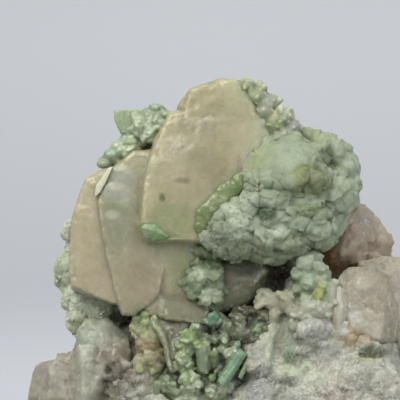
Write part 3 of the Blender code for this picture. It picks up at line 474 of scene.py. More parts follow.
def waves(at, size, seed, octaves=3):
    """Smooth noise from about -1 to 1, whose largest waves are this size."""
    total = np.zeros(len(at))
    weight = 1.0
    for octave in range(octaves):
        place = at / size
        base = np.floor(place)
        t = place - base
        t = t * t * (3 - 2 * t)
        for corner in itertools.product((0, 1), repeat=3):
            share = np.prod(np.where(corner, t, 1 - t), axis=1)
            total += weight * share * (2 * hashed(base + corner, seed + octave) - 1)
        size *= 0.5
        weight *= 0.55
    return total


def swirled(at, size, reach, seed):
    """The points moved about by a smooth noise, so that what is made at them isn't regular."""
    return at + reach * np.stack([waves(at, size, seed + 10 * k, 2) for k in range(3)], axis=1)


def cobbles(at, size, seed):
    """Blocks round scattered middles: how far each point is from the nearest middle, how much farther it is
    from the next one, the block's own number, and the height of a flat facet tilted its own way."""
    place = at / size
    base = np.floor(place)
    nearest = np.full(len(at), 9.0)
    second = np.full(len(at), 9.0)
    number = np.zeros(len(at))
    facet = np.zeros(len(at))
    for step in itertools.product((-1, 0, 1), repeat=3):
        cell = base + step
        spread = np.stack([hashed(cell, seed + k) for k in range(3)], axis=1)
        lean = np.stack([hashed(cell, seed + 3 + k) - 0.5 for k in range(3)], axis=1)
        offset = place - cell - 0.1 - 0.8 * spread
        distance = np.linalg.norm(offset, axis=1)
        closer = distance < nearest
        second = np.where(closer, nearest, np.minimum(second, distance))
        number = np.where(closer, hashed(cell, seed + 6), number)
        facet = np.where(closer, (offset * lean).sum(1), facet)
        nearest = np.where(closer, distance, nearest)
    return nearest, second - nearest, number, facet


def rounded(level):
    """A round top over a level: steep where the level is 0, and flat where it is 1."""
    return np.sqrt(np.clip(level, 0.0, 1.0))


def domes(at, size, seed, ragged):
    """Rounded lumps side by side: each one's height, the gap to the next, its own number and its facet."""
    nearest, gap, own, facet = cobbles(swirled(at, 1.3 * size, ragged * size, seed), size, seed)
    return rounded(1.0 - (nearest / LUMP_REACH) ** 2), gap, own, facet


def scales(at, size, seed):
    """Overlapping scales with sharp creases: their height, a number that is 0 in the creases and 1 away
    from them, and each scale's own number."""
    dome, gap, own, facet = domes(at, size, seed, 0.35)
    return 0.6 * dome + 1.1 * facet + 0.35 * own - 0.4, np.clip(gap / 0.3, 0.0, 1.0), own


def soft_step(value, low, high):
    t = np.clip((value - low) / (high - low), 0.0, 1.0)
    return t * t * (3 - 2 * t)


def rows_of(elements, name, kind=np.float32):
    """What a mesh keeps under this name for each of these elements, three numbers to a row."""
    flat = np.zeros(3 * len(elements), kind)
    elements.foreach_get(name, flat)
    return flat.reshape(-1, 3)


def points_of(mesh):
    return rows_of(mesh.vertices, "co").astype(float) / MM


def put_points(mesh, at):
    mesh.vertices.foreach_set("co", (at * MM).astype(np.float32).ravel())
    mesh.update()


def note(mesh, name, values):
    """Keeps one number for each point of the mesh, for its material to read."""
    attribute = mesh.attributes.new(name, "FLOAT", "POINT")
    attribute.data.foreach_set("value", np.asarray(values, np.float32))


def note_tint(mesh, colors):
    """Keeps one colour for each point of the mesh, for its material to read."""
    attribute = mesh.attributes.new("tint", "FLOAT_COLOR", "POINT")
    four = np.ones((len(colors), 4), np.float32)
    four[:, :3] = colors
    attribute.data.foreach_set("color", four.ravel())


def patched(at, out, base, patches, seed):
    """The base colour at each point, turned to each patch's own colour where it lies on the front."""
    ragged = 1.0 + 0.28 * waves(at, 2.4, seed, 4)
    facing = soft_step(-out[:, 1], -0.2, 0.3)
    colors = np.tile(tone(*base), (len(at), 1))
    for x, z, wide, high, color, share in patches:
        reach = np.hypot((at[:, 0] - x) / wide, (at[:, 2] - z) / high) * ragged
        weight = share * facing * (1.0 - soft_step(reach, 0.6, 1.5))
        colors += weight[:, None] * (np.array(tone(*color)) - colors)
    return colors


def mesh_from_bmesh(bm):
    mesh = bpy.data.meshes.new("shape")
    bm.to_mesh(mesh)
    bm.free()
    return mesh


def joined(meshes):
    bm = bmesh.new()
    for mesh in meshes:
        bm.from_mesh(mesh)
    return mesh_from_bmesh(bm)


def solid_of(node):
    """The mesh of one of the frame's solids."""
    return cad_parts[node].data


def fine_skin(solid, voxel, smoothing=0):
    """An even, fine skin over closed shapes, its edges softened: its mesh, points and outward directions."""
    obj = bpy.data.objects.new("working", solid.copy())
    bpy.context.scene.collection.objects.link(obj)
    remesh = obj.modifiers.new("Remesh", "REMESH")
    remesh.mode = "VOXEL"
    remesh.voxel_size = voxel * MM
    if smoothing:
        smooth = obj.modifiers.new("Smooth", "SMOOTH")
        smooth.iterations = smoothing
    graph = bpy.context.evaluated_depsgraph_get()
    mesh = bpy.data.meshes.new_from_object(obj.evaluated_get(graph))
    bpy.data.objects.remove(obj)
    return mesh, points_of(mesh), rows_of(mesh.vertex_normals, "vector").astype(float)


def hull(points):
    """The convex solid round these points."""
    bm = bmesh.new()
    for point in points:
        bm.verts.new(Vector(point) * MM)
    made = bmesh.ops.convex_hull(bm, input=bm.verts)
    unused = set(made["geom_interior"]) | set(made["geom_unused"])
    bmesh.ops.delete(bm, geom=[g for g in unused if isinstance(g, bmesh.types.BMVert)], context="VERTS")
    bmesh.ops.recalc_face_normals(bm, faces=bm.faces)
    return mesh_from_bmesh(bm)


def crystal(outline, front, girdle, back, inset, tilt, peaks):
    """A crystal with a low-faceted front, uneven bevels round its girdle and a smaller back."""
    centre_x = sum(x for x, _ in outline) / len(outline)
    centre_z = sum(z for _, z in outline) / len(outline)
    reach = sum(math.hypot(x - centre_x, z - centre_z) for x, z in outline) / len(outline)

    def ring(depth, step_in):
        for k, (x, z) in enumerate(outline):
            share = 1.0 - step_in * (1.0 + 0.45 * math.sin(2.4 * k)) / reach
            fall = tilt[0] * (x - centre_x) + tilt[1] * (z - centre_z)
            yield (centre_x + (x - centre_x) * share, depth + fall, centre_z + (z - centre_z) * share)

    shoulder = ring(0.7 * front + 0.3 * girdle, 0.35 * inset)
    return hull([*ring(front, inset), *shoulder, *ring(girdle, 0.0), *ring(back, 2.4 * inset), *peaks])


def prism(tip, root, radius):
    """A six-sided prism with a low end, as tourmaline grows."""
    start = Vector(root)
    along = Vector(tip) - start
    turn = along.to_track_quat("Z", "X")
    points = []
    for k in range(6):
        angle = 2 * math.pi * k / 6
        reach = radius * (1.0 if k % 2 else 0.9)
        for height, share in ((0.0, 1.0), (along.length - 0.35 * radius, 1.0), (along.length, 0.86)):
            across = Vector((reach * share * math.cos(angle), reach * share * math.sin(angle), height))
            points.append(start + turn @ across)
    return hull(points)


def ellipsoid(x, y, z, wide, deep, high):
    bm = bmesh.new()
    size = Matrix.Diagonal((wide * MM, deep * MM, high * MM, 1.0))
    place = Matrix.Translation(Vector((x, y, z)) * MM)
    bmesh.ops.create_icosphere(bm, subdivisions=3, radius=1.0, matrix=place @ size)
    return mesh_from_bmesh(bm)


def with_lumps(solid, lumps):
    """The solid together with lumps on it, each given as (x, y, z, half width, half depth, half height)."""
    return joined([solid, *(ellipsoid(*lump) for lump in lumps)])


def along(path, steps=6):
    """Evenly spaced points on the straight runs of a path, from its start to just before its end."""
    for (x0, z0), (x1, z1) in itertools.pairwise(path):
        for k in range(steps):
            yield x0 + (x1 - x0) * k / steps, z0 + (z1 - z0) * k / steps


def tree_of(meshes):
    """A search tree over the faces of these meshes."""
    bm = bmesh.new()
    for mesh in meshes:
        bm.from_mesh(mesh)
    tree = BVHTree.FromBMesh(bm)
    bm.free()
    return tree


def distance_to(meshes, at):
    tree = tree_of(meshes)
    return np.array([tree.find_nearest(point)[3] for point in at * MM]) / MM


def closeness(at, nodes, reach):
    """1 where points touch the solids of these nodes, falling to 0 at this reach from them."""
    return 1.0 - soft_step(distance_to(map(solid_of, nodes), at), 0.0, reach)


def lobed(at, mesh, lobes):
    """The height of listed lobes, and the depth of hollows, over the front of a mesh."""
    tree = tree_of([mesh])
    rise = np.zeros(len(at))
    fall = np.zeros(len(at))
    for x, z, wide, high, turn, height in lobes:
        hit = tree.ray_cast(Vector((x, -40.0, z)) * MM, Vector((0, 1, 0)))[0]
        if hit is None:
            continue
        offset = at - np.array(hit / MM)
        c, s = math.cos(math.radians(turn)), math.sin(math.radians(turn))
        across = (c * offset[:, 0] + s * offset[:, 2]) / wide
        upward = (c * offset[:, 2] - s * offset[:, 0]) / high
        depth = offset[:, 1] / (1.3 * max(wide, high))
        dome = rounded(1.0 - across**2 - upward**2 - depth**2)
        if height > 0:
            rise = np.maximum(rise, height * dome)
        else:
            fall = np.maximum(fall, -height * dome**2)
    return rise - fall


def ringed(*levels, sides=6):
    """A small closed shape round the third axis: rings of points, each given as (height, radius)."""
    points = []
    for height, radius in levels:
        for k in range(sides):
            angle = 2 * math.pi * k / sides
            points.append((radius * math.cos(angle), radius * math.sin(angle), height))
    top = (len(levels) - 1) * sides
    faces = [tuple(reversed(range(sides))), tuple(range(top, top + sides))]
    for start in range(0, top, sides):
        for k in range(sides):
            after = (k + 1) % sides
            faces.append((start + k, start + after, start + sides + after, start + sides + k))
    return np.array(points), faces


PRISM_SHAPE = ringed((-1.0, 1.0), (0.8, 1.0), (1.0, 0.66))
CHIP_SHAPE = ringed((-1.0, 0.8), (0.9, 0.9), sides=4)
BEAD_SHAPE = ringed((-1.0, 0.35), (-0.6, 0.85), (0.0, 1.0), (0.6, 0.8), (1.0, 0.3), sides=8)


def turned_along(directions, stray, rng):
    """A turning matrix for each direction, whose third axis is near that direction."""
    third = directions + stray * rng.normal(size=directions.shape)
    third /= np.linalg.norm(third, axis=1)[:, None]
    first = np.cross(third, rng.normal(size=third.shape))
    first /= np.linalg.norm(first, axis=1)[:, None]
    return np.stack([first, np.cross(third, first), third], axis=2)


def copies(shape, spots, turns, sizes, colors, rng, misshapen=0.12):
    """Many small shapes in one mesh, each with its own colour, number and height noted for its material."""
    points, faces = shape
    count = len(spots)
    local = points * (1.0 + misshapen * rng.uniform(-1.0, 1.0, (count, len(points), 3)))
    placed = np.einsum("nij,nvj->nvi", turns, local * sizes[:, None, :]) + spots[:, None, :]
    mesh = bpy.data.meshes.new("copies")
    all_faces = [[k * len(points) + v for v in face] for k in range(count) for face in faces]
    mesh.from_pydata((placed.reshape(-1, 3) * MM).tolist(), [], all_faces)
    note_tint(mesh, np.repeat(colors, len(points), axis=0))
    note(mesh, "own", np.repeat(rng.random(count), len(points)))
    # How high each point stands on its shape: the materials paint shade at the low end
    note(mesh, "relief", np.tile(0.5 + 0.5 * points[:, 2], count))
    return mesh


def spots_on(mesh, count, rng, keep):
    """Scattered points on a mesh, where keep says so, and the way the surface faces at each."""
    mesh.calc_loop_triangles()
    triangles = points_of(mesh)[rows_of(mesh.loop_triangles, "vertices", np.int32)]
    across = np.cross(triangles[:, 1] - triangles[:, 0], triangles[:, 2] - triangles[:, 0])
    area = np.linalg.norm(across, axis=1) + 1e-12
    weight = area * keep(triangles.mean(1), across / area[:, None])
    picked = rng.choice(len(triangles), count, p=weight / weight.sum())
    at = (triangles[picked] * rng.dirichlet((1, 1, 1), count)[:, :, None]).sum(1)
    return at, across[picked] / area[picked, None]


def in_front(spots, facing):
    return facing[:, 1] < 0.1


def scattered(mesh, shape, count, seed, keep, small, large, stretch, base, patches, spread):
    """Small shapes grown over a mesh, with radii from small to large, most of them small, and colours that
    spread about their own."""
    rng = np.random.default_rng(seed)
    spots, out = spots_on(mesh, count, rng, keep)
    radius = small * (large / small) ** (rng.random(count) ** 1.6)
    sizes = np.stack([radius, radius * rng.uniform(0.75, 1.1, count), radius * stretch], axis=1)
    colors = patched(spots, out, base, patches, seed) * (1.0 + spread * rng.normal(size=(count, 1)))
    return copies(shape, spots, turned_along(out, 0.35, rng), sizes, np.clip(colors, *TINT_LIMITS), rng)


def grown(solid, placed, count, seed, keep, small, large, base, patches, voxel, root=0.6):
    """A skin over a solid and the crystals grown on it: listed ones, given as (tip, root, radius,
    colour), and many small ones. It keeps each crystal's own colour, and how far it stands out."""
    rng = np.random.default_rng(seed)
    spots, out = spots_on(solid, count, rng, keep)
    radius = small * (large / small) ** (rng.random(count) ** 1.4)
    across, length = (radius * rng.uniform(*limits, count) for limits in ((0.7, 1.1), (0.8, 1.6)))
    sizes = np.stack([radius, across, length], axis=1)
    colors = patched(spots, out, base, patches, seed) * (1.0 + 0.14 * rng.normal(size=(count, 1)))
    shapes = [solid, copies(PRISM_SHAPE, spots, turned_along(out, 0.9, rng), sizes, colors, rng, 0.2)]
    if placed:
        tips, roots, radii, own = (np.array(column) for column in zip(*placed, strict=True))
        own = np.array([tone(*color) for color in own])
        length = np.linalg.norm(tips - roots, axis=1)
        sizes = np.stack([radii, 0.9 * radii, 0.5 * length], axis=1)
        turns = turned_along((tips - roots) / length[:, None], 0.05, rng)
        shapes.append(copies(PRISM_SHAPE, 0.5 * (tips + roots), turns, sizes, own, rng, 0.18))
        colors = np.concatenate([colors, own])
    tree = tree_of(shapes)
    mesh, at, facing = fine_skin(joined(shapes), voxel, 1)
    nearest = np.array([tree.find_nearest(point)[2] for point in at * MM]) - len(solid.polygons)
    grains = nearest // len(PRISM_SHAPE[1])
    ground = patched(at, facing, base, patches, seed)
    tints = 0.75 * colors[np.clip(grains, 0, None)] + 0.25 * ground
    # The ground between the crystals is painted darker, as shade
    tints = np.where((nearest < 0)[:, None], 0.8 * ground, tints)
    put_points(mesh, at + facing * (0.05 * waves(at, 0.9, seed + 2, 3))[:, None])
    note_tint(mesh, np.clip(tints, *TINT_LIMITS))
    # How far each point stands out from the solid: the materials paint shade where it is low
    note(mesh, "relief", root + (0.9 - root) * soft_step(distance_to([solid], at), 0.0, 0.7))
    note(mesh, "own", hashed(np.stack([nearest // 8 + 50, nearest // 8, nearest // 8], axis=1), seed))
    return mesh


def dressed(skin, rise, base, patches, seed, **notes):
    """The mesh of a fine skin, moved outwards by its rise, with its colours and other numbers noted."""
    mesh, at, out = skin
    put_points(mesh, at + out * np.broadcast_to(rise, len(at))[:, None])
    note_tint(mesh, patched(at, out, base, patches, seed))
    for name, values in notes.items():
        note(mesh, name, np.broadcast_to(values, len(at)))
    return mesh


class Paint:
    """A node material under construction. Sockets go in and come out of its methods."""

    def __init__(self, name):
        self.material = bpy.data.materials.new(name)
        self.material.use_nodes = True
        self.tree = self.material.node_tree
        self.shader = self.tree.nodes["Principled BSDF"]
        self.place = self.node("ShaderNodeTexCoord").outputs["Object"]

    def node(self, kind, inputs=None, **settings):
        made = self.tree.nodes.new(kind)
        for name, value in settings.items():
            setattr(made, name, value)
        for name, value in (inputs or {}).items():
            self.feed(made.inputs[name], value)
        return made

    def feed(self, socket, value):
        if isinstance(value, bpy.types.NodeSocket):
            self.tree.links.new(value, socket)
        elif isinstance(value, tuple) and len(value) == 3 and socket.type == "RGBA":
            socket.default_value = (*value, 1.0)
        else:
            socket.default_value = value

    def shade(self, **inputs):
        """Sets the shader's own inputs, with _ for a space in their names."""
        for name, value in inputs.items():
            self.feed(self.shader.inputs[name.replace("_", " ")], value)

    def glow(self, share, spread, depth):
        """Lets light spread inside: how much of it, how far each colour goes, and how many millimetres."""
        self.shade(Subsurface_Weight=share, Subsurface_Radius=spread, Subsurface_Scale=depth * MM)

    def noise(self, size, detail=4.0, rough=0.55, warp=0.0):
        """Smooth noise from 0 to 1, with waves of this size in millimetres."""
        inputs = {
            "Vector": self.place, "Scale": 1 / (size * MM), "Detail": detail,
            "Roughness": rough, "Distortion": warp,
        }
        return self.node("ShaderNodeTexNoise", inputs).outputs["Fac"]

    def noted(self, name, output="Fac"):
        """The numbers kept on the mesh under this name, or its colours."""
        return self.node("ShaderNodeAttribute", attribute_name=name).outputs[output]

    def remap(self, value, low, high, to_low=0.0, to_high=1.0):
        inputs = {"Value": value, "From Min": low, "From Max": high, "To Min": to_low, "To Max": to_high}
        return self.node("ShaderNodeMapRange", inputs, interpolation_type="SMOOTHSTEP").outputs["Result"]

    def math(self, operation, a, b=0.0):
        made = self.node("ShaderNodeMath", operation=operation)
        self.feed(made.inputs[0], a)
        self.feed(made.inputs[1], b)
        return made.outputs[0]

    def times(self, a, b):
        return self.math("MULTIPLY", a, b)

    def mix(self, share, a, b, kind="MIX"):
        """The colour a, turning to b where share is 1."""
        made = self.node("ShaderNodeMix", data_type="RGBA", blend_type=kind)
        sockets = {socket.identifier: socket for socket in made.inputs}
        for name, value in (("Factor_Float", share), ("A_Color", a), ("B_Color", b)):
            self.feed(sockets[name], value)
        return next(socket for socket in made.outputs if socket.identifier == "Result_Color")

    def lit(self, color, level):
        """The colour, darker or lighter by this factor."""
        grey = self.node("ShaderNodeCombineColor", dict.fromkeys(("Red", "Green", "Blue"), level))
        return self.mix(1.0, color, grey.outputs["Color"], "MULTIPLY")

    def mottled(self, color, size, dark, light, *noise):
        """The colour, darker and lighter by turns, in patches of this size."""
        return self.lit(color, self.remap(self.noise(size, *noise), 0.32, 0.68, dark, light))

    def cells(self, size, output):
        """Grains of this size side by side: the distance to each one's middle, or its own colour."""
        inputs = {"Vector": self.place, "Scale": 1 / (size * MM)}
        return self.node("ShaderNodeTexVoronoi", inputs).outputs[output]

    def grained(self, color, size, dark, light):
        """The colour, darker or lighter in each grain of this size."""
        return self.lit(color, self.remap(self.cells(size, "Color"), 0.0, 1.0, dark, light))

    def speckled(self, color, size, speck, rarity, share):
        """The colour with small specks of another, rarer as rarity goes from 0.5 to 0.8."""
        specks = self.remap(self.noise(size, 2.0, 0.6), rarity, rarity + 0.06)
        return self.mix(self.times(specks, share), color, speck)

    def lines(self, width, *noise):
        """Thin lines where a noise goes through its middle, wider as this share of its range grows."""
        away = self.math("ABSOLUTE", self.math("SUBTRACT", self.noise(*noise), 0.5))
        return self.remap(away, 0.0, width, 1.0, 0.0)

    def bump(self, height, distance, strength):
        """Fine relief: height from 0 to 1 stands for this many millimetres."""
        inputs = {"Height": height, "Distance": distance * MM, "Strength": strength}
        self.shade(Normal=self.node("ShaderNodeBump", inputs).outputs["Normal"])


def pollucite_paint():
    """Waxy, translucent crystal: cloudy inside, with white veils and fine cracks, and a painted highlight in
    broken pale lines along a few of its sharp edges.
    """
    p = Paint("pollucite_crystal")
    color = p.mottled(p.noted("tint", "Color"), 6.0, 0.94, 1.05, 5.0, 0.55, 0.5)
    color = p.mottled(color, 1.4, 0.97, 1.03, 4.0, 0.6, 1.0)
    veils = p.remap(p.noise(4.0, 8.0, 0.72, 2.2), 0.58, 0.72)
    color = p.mix(p.times(veils, 0.22), color, CREAM)
    flecks = p.times(p.remap(p.noise(0.5, 3.0, 0.7), 0.64, 0.72), p.remap(p.noise(7.0), 0.52, 0.62))
    color = p.mix(p.times(flecks, 0.30), color, CREAM)
    cracks = p.times(p.lines(0.010, 4.0, 3.0, 0.5, 1.0), p.remap(p.noise(6.0, 2.0), 0.52, 0.6))
    color = p.mix(p.times(cracks, 0.25), color, tone(150, 130, 98))
    # Painted highlight: broken pale lines along the sharp edges, where light would glint
    edge_glints = p.times(p.remap(p.noted("edge"), 0.6, 0.95), p.remap(p.noise(1.0, 5.0, 0.7), 0.5, 0.62))
    color = p.mix(p.times(edge_glints, 0.30), color, CREAM)
    rough = p.remap(p.noise(2.5, 5.0, 0.65), 0.35, 0.7, 0.18, 0.45)
    p.shade(Base_Color=color, Roughness=rough, IOR=1.52, Transmission_Weight=0.10)
    p.glow(0.9, (1.0, 0.85, 0.55), 4.0)
    p.bump(p.noise(1.1, 6.0, 0.6), 0.08, 0.35)
    return p.material


def crust_paint():
    """Soft, granular crust, with painted shade in its creases and at the roots of its grains, so that its
    crests stand paler.
    """
    p = Paint("mint_crust_grains")
    color = p.mottled(p.noted("tint", "Color"), 3.0, 0.90, 1.10)
    color = p.mottled(color, 0.4, 0.92, 1.08, 3.0, 0.7)
    color = p.mix(p.remap(p.noted("own"), 0.6, 1.0, 0.0, 0.35), color, PALE_MINT)
    color = p.mix(p.remap(p.noted("own"), 0.0, 0.4, 0.22, 0.0), color, OLIVE)
    # Painted shade: dark green in the creases between scales and at the feet of grains, where the relief
    # number is low
    color = p.mix(p.remap(p.noted("relief"), 0.0, 0.6, 0.75, 0.0), color, CREASE_SHADE)
    color = p.speckled(color, 0.5, DARK, 0.68, 0.3)
    color = p.speckled(color, 0.6, WHITE, 0.66, 0.25)
    grain = p.noise(0.35, 4.0, 0.7)
    p.shade(Base_Color=color, Roughness=p.remap(grain, 0.3, 0.7, 0.5, 0.8))
    p.glow(0.4, (0.9, 1.0, 0.7), 0.7)
    p.bump(grain, 0.16, 0.7)
    return p.material


def rock_paint():
    """Broken rock of quartz and feldspar, sugary in places, with dark specks, and painted shade in the
    creases between its blocks and grains.
    """
    p = Paint("matrix_grains")
    color = p.mottled(p.noted("tint", "Color"), 4.0, 0.86, 1.12, 4.0, 0.55, 0.6)
    color = p.mottled(color, 0.7, 0.88, 1.12, 4.0, 0.7)
    color = p.mix(p.remap(p.noted("own"), 0.6, 1.0, 0.0, 0.30), color, WHITE)
    color = p.mix(p.remap(p.noted("own"), 0.0, 0.35, 0.25, 0.0), color, OLIVE)
    # Painted shade: darker in the creases between blocks and grains and at the feet of the loose grains
    color = p.mix(p.remap(p.noted("relief"), 0.0, 0.4, 0.45, 0.0), color, DARK)
    color = p.grained(color, 2.2, 0.90, 1.08)
    color = p.grained(color, 0.8, 0.90, 1.08)
    cracks = p.times(p.lines(0.018, 3.0, 6.0, 0.65, 0.8), p.remap(p.noise(5.0, 2.0), 0.48, 0.58))
    color = p.mix(p.times(cracks, 0.40), color, DARK)
    color = p.mix(p.times(p.lines(0.02, 4.0, 5.0, 0.6, 2.0), 0.35), color, WHITE)
    few = p.remap(p.noise(5.0), 0.5, 0.6)
    color = p.speckled(color, 0.5, DARK, 0.58, p.times(few, 0.5))
    some = p.remap(p.noise(6.0, 3.0), 0.48, 0.56)
    color = p.speckled(color, 0.5, WHITE, 0.54, p.times(some, 0.6))
    grain = p.math("ADD", p.noise(1.0, 5.0, 0.6), p.cells(1.1, "Distance"))
    p.shade(Base_Color=color, Roughness=p.remap(grain, 0.5, 1.2, 0.4, 0.8))
    p.glow(0.3, (1.0, 0.95, 0.85), 0.8)
    p.bump(grain, 0.25, 0.7)
    return p.material


def quartz_paint(name, crack, depth):
    """Milky quartz: cloudy, with pale healed cracks and a slightly greasy polish."""
    p = Paint(name)
    color = p.mottled(p.noted("tint", "Color"), 3.5, 0.82, 1.14, 6.0, 0.55, 0.6)
    color = p.mottled(color, 0.8, 0.90, 1.10, 3.0)
    color = p.mix(p.times(p.lines(0.03, 3.0, 4.0, 0.6, 1.5), 0.2), color, crack)
    color = p.speckled(color, 1.4, WHITE, 0.64, 0.5)
    rough = p.remap(p.noise(1.5, 5.0), 0.35, 0.7, 0.28, 0.55)
    p.shade(Base_Color=color, Roughness=rough, IOR=1.54, Transmission_Weight=0.1)
    p.glow(0.6, (1.0, 0.9, 0.75), depth)
    p.bump(p.noise(0.9, 6.0, 0.65), 0.14, 0.6)
    return p.material


def tourmaline_paint(name, clearness):
    """Green crystal, clear or cloudy, with painted shade towards its root and painted light on its outermost
    tips.
    """
    p = Paint(name)
    color = p.mottled(p.noted("tint", "Color"), 1.6, 0.88, 1.12, 5.0, 0.55, 0.4)
    # Painted shade towards the roots, and painted light on the tips that stand farthest out
    color = p.mix(p.remap(p.noted("relief"), 0.0, 0.7, 0.35, 0.0), color, tone(72, 88, 56))
    color = p.mix(p.remap(p.noted("relief"), 0.85, 1.0, 0.0, 0.25), color, PALE_MINT)
    color = p.speckled(color, 0.5, PALE_MINT, 0.64, 0.2)
    rough = p.remap(p.noise(0.8), 0.3, 0.7, 0.16, 0.42)
    p.shade(Base_Color=color, Roughness=rough, IOR=1.62, Transmission_Weight=clearness)
    p.glow(0.6, (0.7, 1.0, 0.6), 1.0)
    p.bump(p.noise(0.5, 5.0, 0.6), 0.06, 0.5)
    return p.material


def add_piece(name, mesh, material, slot, node, smooth=True):
    """A finished piece of the specimen, standing for this node of the frame."""
    mesh.materials.clear()
    mesh.materials.append(material)
    mesh.polygons.foreach_set("use_smooth", [smooth] * len(mesh.polygons))
    mesh.name = name
    obj = bpy.data.objects.new(name, mesh)
    bpy.context.scene.collection.objects.link(obj)
    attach(obj, "root")
    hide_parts(node)


def planes_of(solid):
    """The face planes of a convex solid, as outward directions and distances in millimetres."""
    bm = bmesh.new()
    bm.from_mesh(solid)
    toward = np.array([face.normal[:] for face in bm.faces])
    reach = np.array([face.normal.dot(face.verts[0].co) / MM for face in bm.faces])
    bm.free()
    return toward, reach


def beyond(at, toward, reach):
    """How far points are outside a convex solid, and how near they are to a sharp edge of it."""
    heights = at @ toward.T - reach
    first = heights.argmax(axis=1)
    outside = heights[np.arange(len(at)), first]
    heights[(toward @ toward.T)[first] > math.cos(math.radians(25))] = -99.0
    return outside, np.exp(-((outside - heights.max(axis=1)) / 0.8) ** 2)


def make_pollucite():
    """All the pollucite crystals, grown together. Each keeps its own colours."""
    node = "pollucite_crystals"
    solids = [crystal(*shape) for shape in CRYSTALS.values()]
    mesh, at, out = fine_skin(joined(solids), 0.28, 2)
    weights = np.zeros(len(at))
    colors = np.zeros((len(at), 3))
    height = np.zeros(len(at))
    edges = np.zeros(len(at))
    for seed, (name, solid) in enumerate(zip(CRYSTALS, solids, strict=True)):
        outside, edge = beyond(at, *planes_of(solid))
        weight = np.exp(-np.clip(outside + 0.1, 0.0, 9.0) ** 2 / 0.05) + 1e-9
        step = np.round(3 * waves(at * (1.0, 1.0, 0.6), 5.0, seed, 2)) / 3
        own = 0.30 * waves(at, 9.0, 20 + seed, 2) + 0.07 * step + 0.05 * waves(at, 1.5, 40 + seed, 3)
        colors += weight[:, None] * patched(at, out, *CRYSTAL_COLORS[name], 80 + seed)
        height += weight * own
        edges += weight * edge
        weights += weight
    edges /= weights
    chipped = 0.30 * edges * np.clip(waves(at, 1.6, 60, 3), 0.0, 1.0)
    put_points(mesh, at + out * (height / weights - chipped)[:, None])
    note_tint(mesh, colors / weights[:, None])
    note(mesh, "edge", edges)
    material = pollucite_paint()
    add_piece("pollucite_skin", mesh, material, "pollucite", node)
    sliver = dressed(fine_skin(crystal(*SLIVER), 0.14, 1), 0.0, (210, 206, 180), [], 0, edge=0.6)
    add_piece("pollucite_sliver", sliver, material, "pollucite", node)
    return mesh


def make_boss(material, crystals):
    """The mint boss: a smooth dome over overlapping scales, with a fringe where it meets the crystal."""
    node = "mint_boss"
    skin = fine_skin(solid_of(node), 0.22, 6)
    mesh, at, out = skin
    large, large_gap, own = scales(at, 2.7, 3)
    small, small_gap, small_own = scales(at, 1.2, 4)
    placed = lobed(at, mesh, BOSS_LOBES)
    calm = 1.0 - soft_step(np.hypot((at[:, 0] - 8.6) / 6.0, (at[:, 2] - 56.0) / 4.6), 0.6, 1.2)
    calm *= soft_step(-out[:, 1], 0.0, 0.3)
    rough = 1.0 - 0.85 * calm
    fine = soft_step(-at[:, 0], -4.0, 0.0)
    rise = rough * (1.7 * large + (0.3 + 0.35 * fine) * small)
    rise += (0.08 + 0.06 * fine) * domes(at, GRAIN, 5, 0.1)[0]
    rise += 0.8 * placed
    rise += 0.10 * waves(at, 1.4, 6, 3)
    rise += 0.8 * closeness(at, ["pollucite_crystals"], 1.8)
    # Low in the creases between scales, where the crust's material paints shade; the quiet dome and raised
    # lobes are spared
    crease = np.minimum(0.35 + 0.65 * large_gap, 0.5 + 0.5 * small_gap) + 0.3 * soft_step(placed, 0.2, 0.7)
    relief = np.clip(np.maximum(crease, calm), 0.0, 1.0)
    number = 0.5 + (0.5 * own + 0.5 * small_own - 0.5) * rough
    dressed(skin, rise - 0.30, BOSS_COLOR, BOSS_PATCHES, 7, relief=relief, own=number)
    add_piece("mint_boss_skin", mesh, material, "mint_crust", node)

    def on_the_left(spots, facing):
        return (spots[:, 0] < 4.0) * (spots[:, 2] < 52.0) * (facing[:, 1] < 0.2) + 0.04

    def beside_the_boss(spots, facing):
        return (closeness(spots, [node, "mint_crest"], 1.8) ** 2) * (facing[:, 1] < 0.2)

    color = (150, 158, 138)
    loose = scattered(mesh, CHIP_SHAPE, 700, 21, on_the_left, 0.10, 0.30, 0.7, color, BOSS_PATCHES, 0.16)
    add_piece("mint_boss_grains", loose, material, "mint_crust", node, smooth=False)
    color = (146, 154, 122)
    fringe = scattered(crystals, BEAD_SHAPE, 240, 22, beside_the_boss, 0.14, 0.55, 0.7, color, [], 0.2)
    add_piece("mint_fringe_grains", fringe, material, "mint_crust", node)


def make_left_crust(material):
    """The crust behind the left crystal: rounded lumps, with small grains on them."""
    node = "mint_crust_left"
    skin = fine_skin(solid_of(node), 0.23, 4)
    mesh, at, _ = skin
    large, large_gap, own = scales(at, 2.0, 31)
    small, small_gap, _ = scales(at, 0.9, 32)
    rise = 0.60 * large + 0.35 * small + 0.1 * domes(at, GRAIN, 33, 0.1)[0] - 0.10
    rise += 0.7 * closeness(at, ["pollucite_crystals"], 1.4)
    # Low in the creases, where the crust's material paints shade
    relief = np.minimum(0.3 + 0.7 * large_gap, 0.5 + 0.5 * small_gap)
    looks = CRUST_COLORS[node], CRUST_PATCHES[node]
    dressed(skin, rise, *looks, 31, relief=relief, own=own)
    add_piece(node + "_skin", mesh, material, "mint_crust", node)
    loose = scattered(mesh, CHIP_SHAPE, 200, 36, in_front, 0.12, 0.45, 0.8, *looks, 0.16)
    add_piece(node + "_grains", loose, material, "mint_crust", node, smooth=False)


def make_mint(crystals):
    material = crust_paint()
    make_boss(material, crystals)
    make_left_crust(material)
    for seed, (node, count, small, large, voxel, placed, bulk) in enumerate(GROWN_CRUSTS, 70):
        looks = CRUST_COLORS[node], CRUST_PATCHES[node]
        solid = with_lumps(solid_of(node), bulk)
        mesh = grown(solid, placed, count, seed, in_front, small, large, *looks, voxel)
        add_piece(node + "_skin", mesh, material, "mint_crust", node)


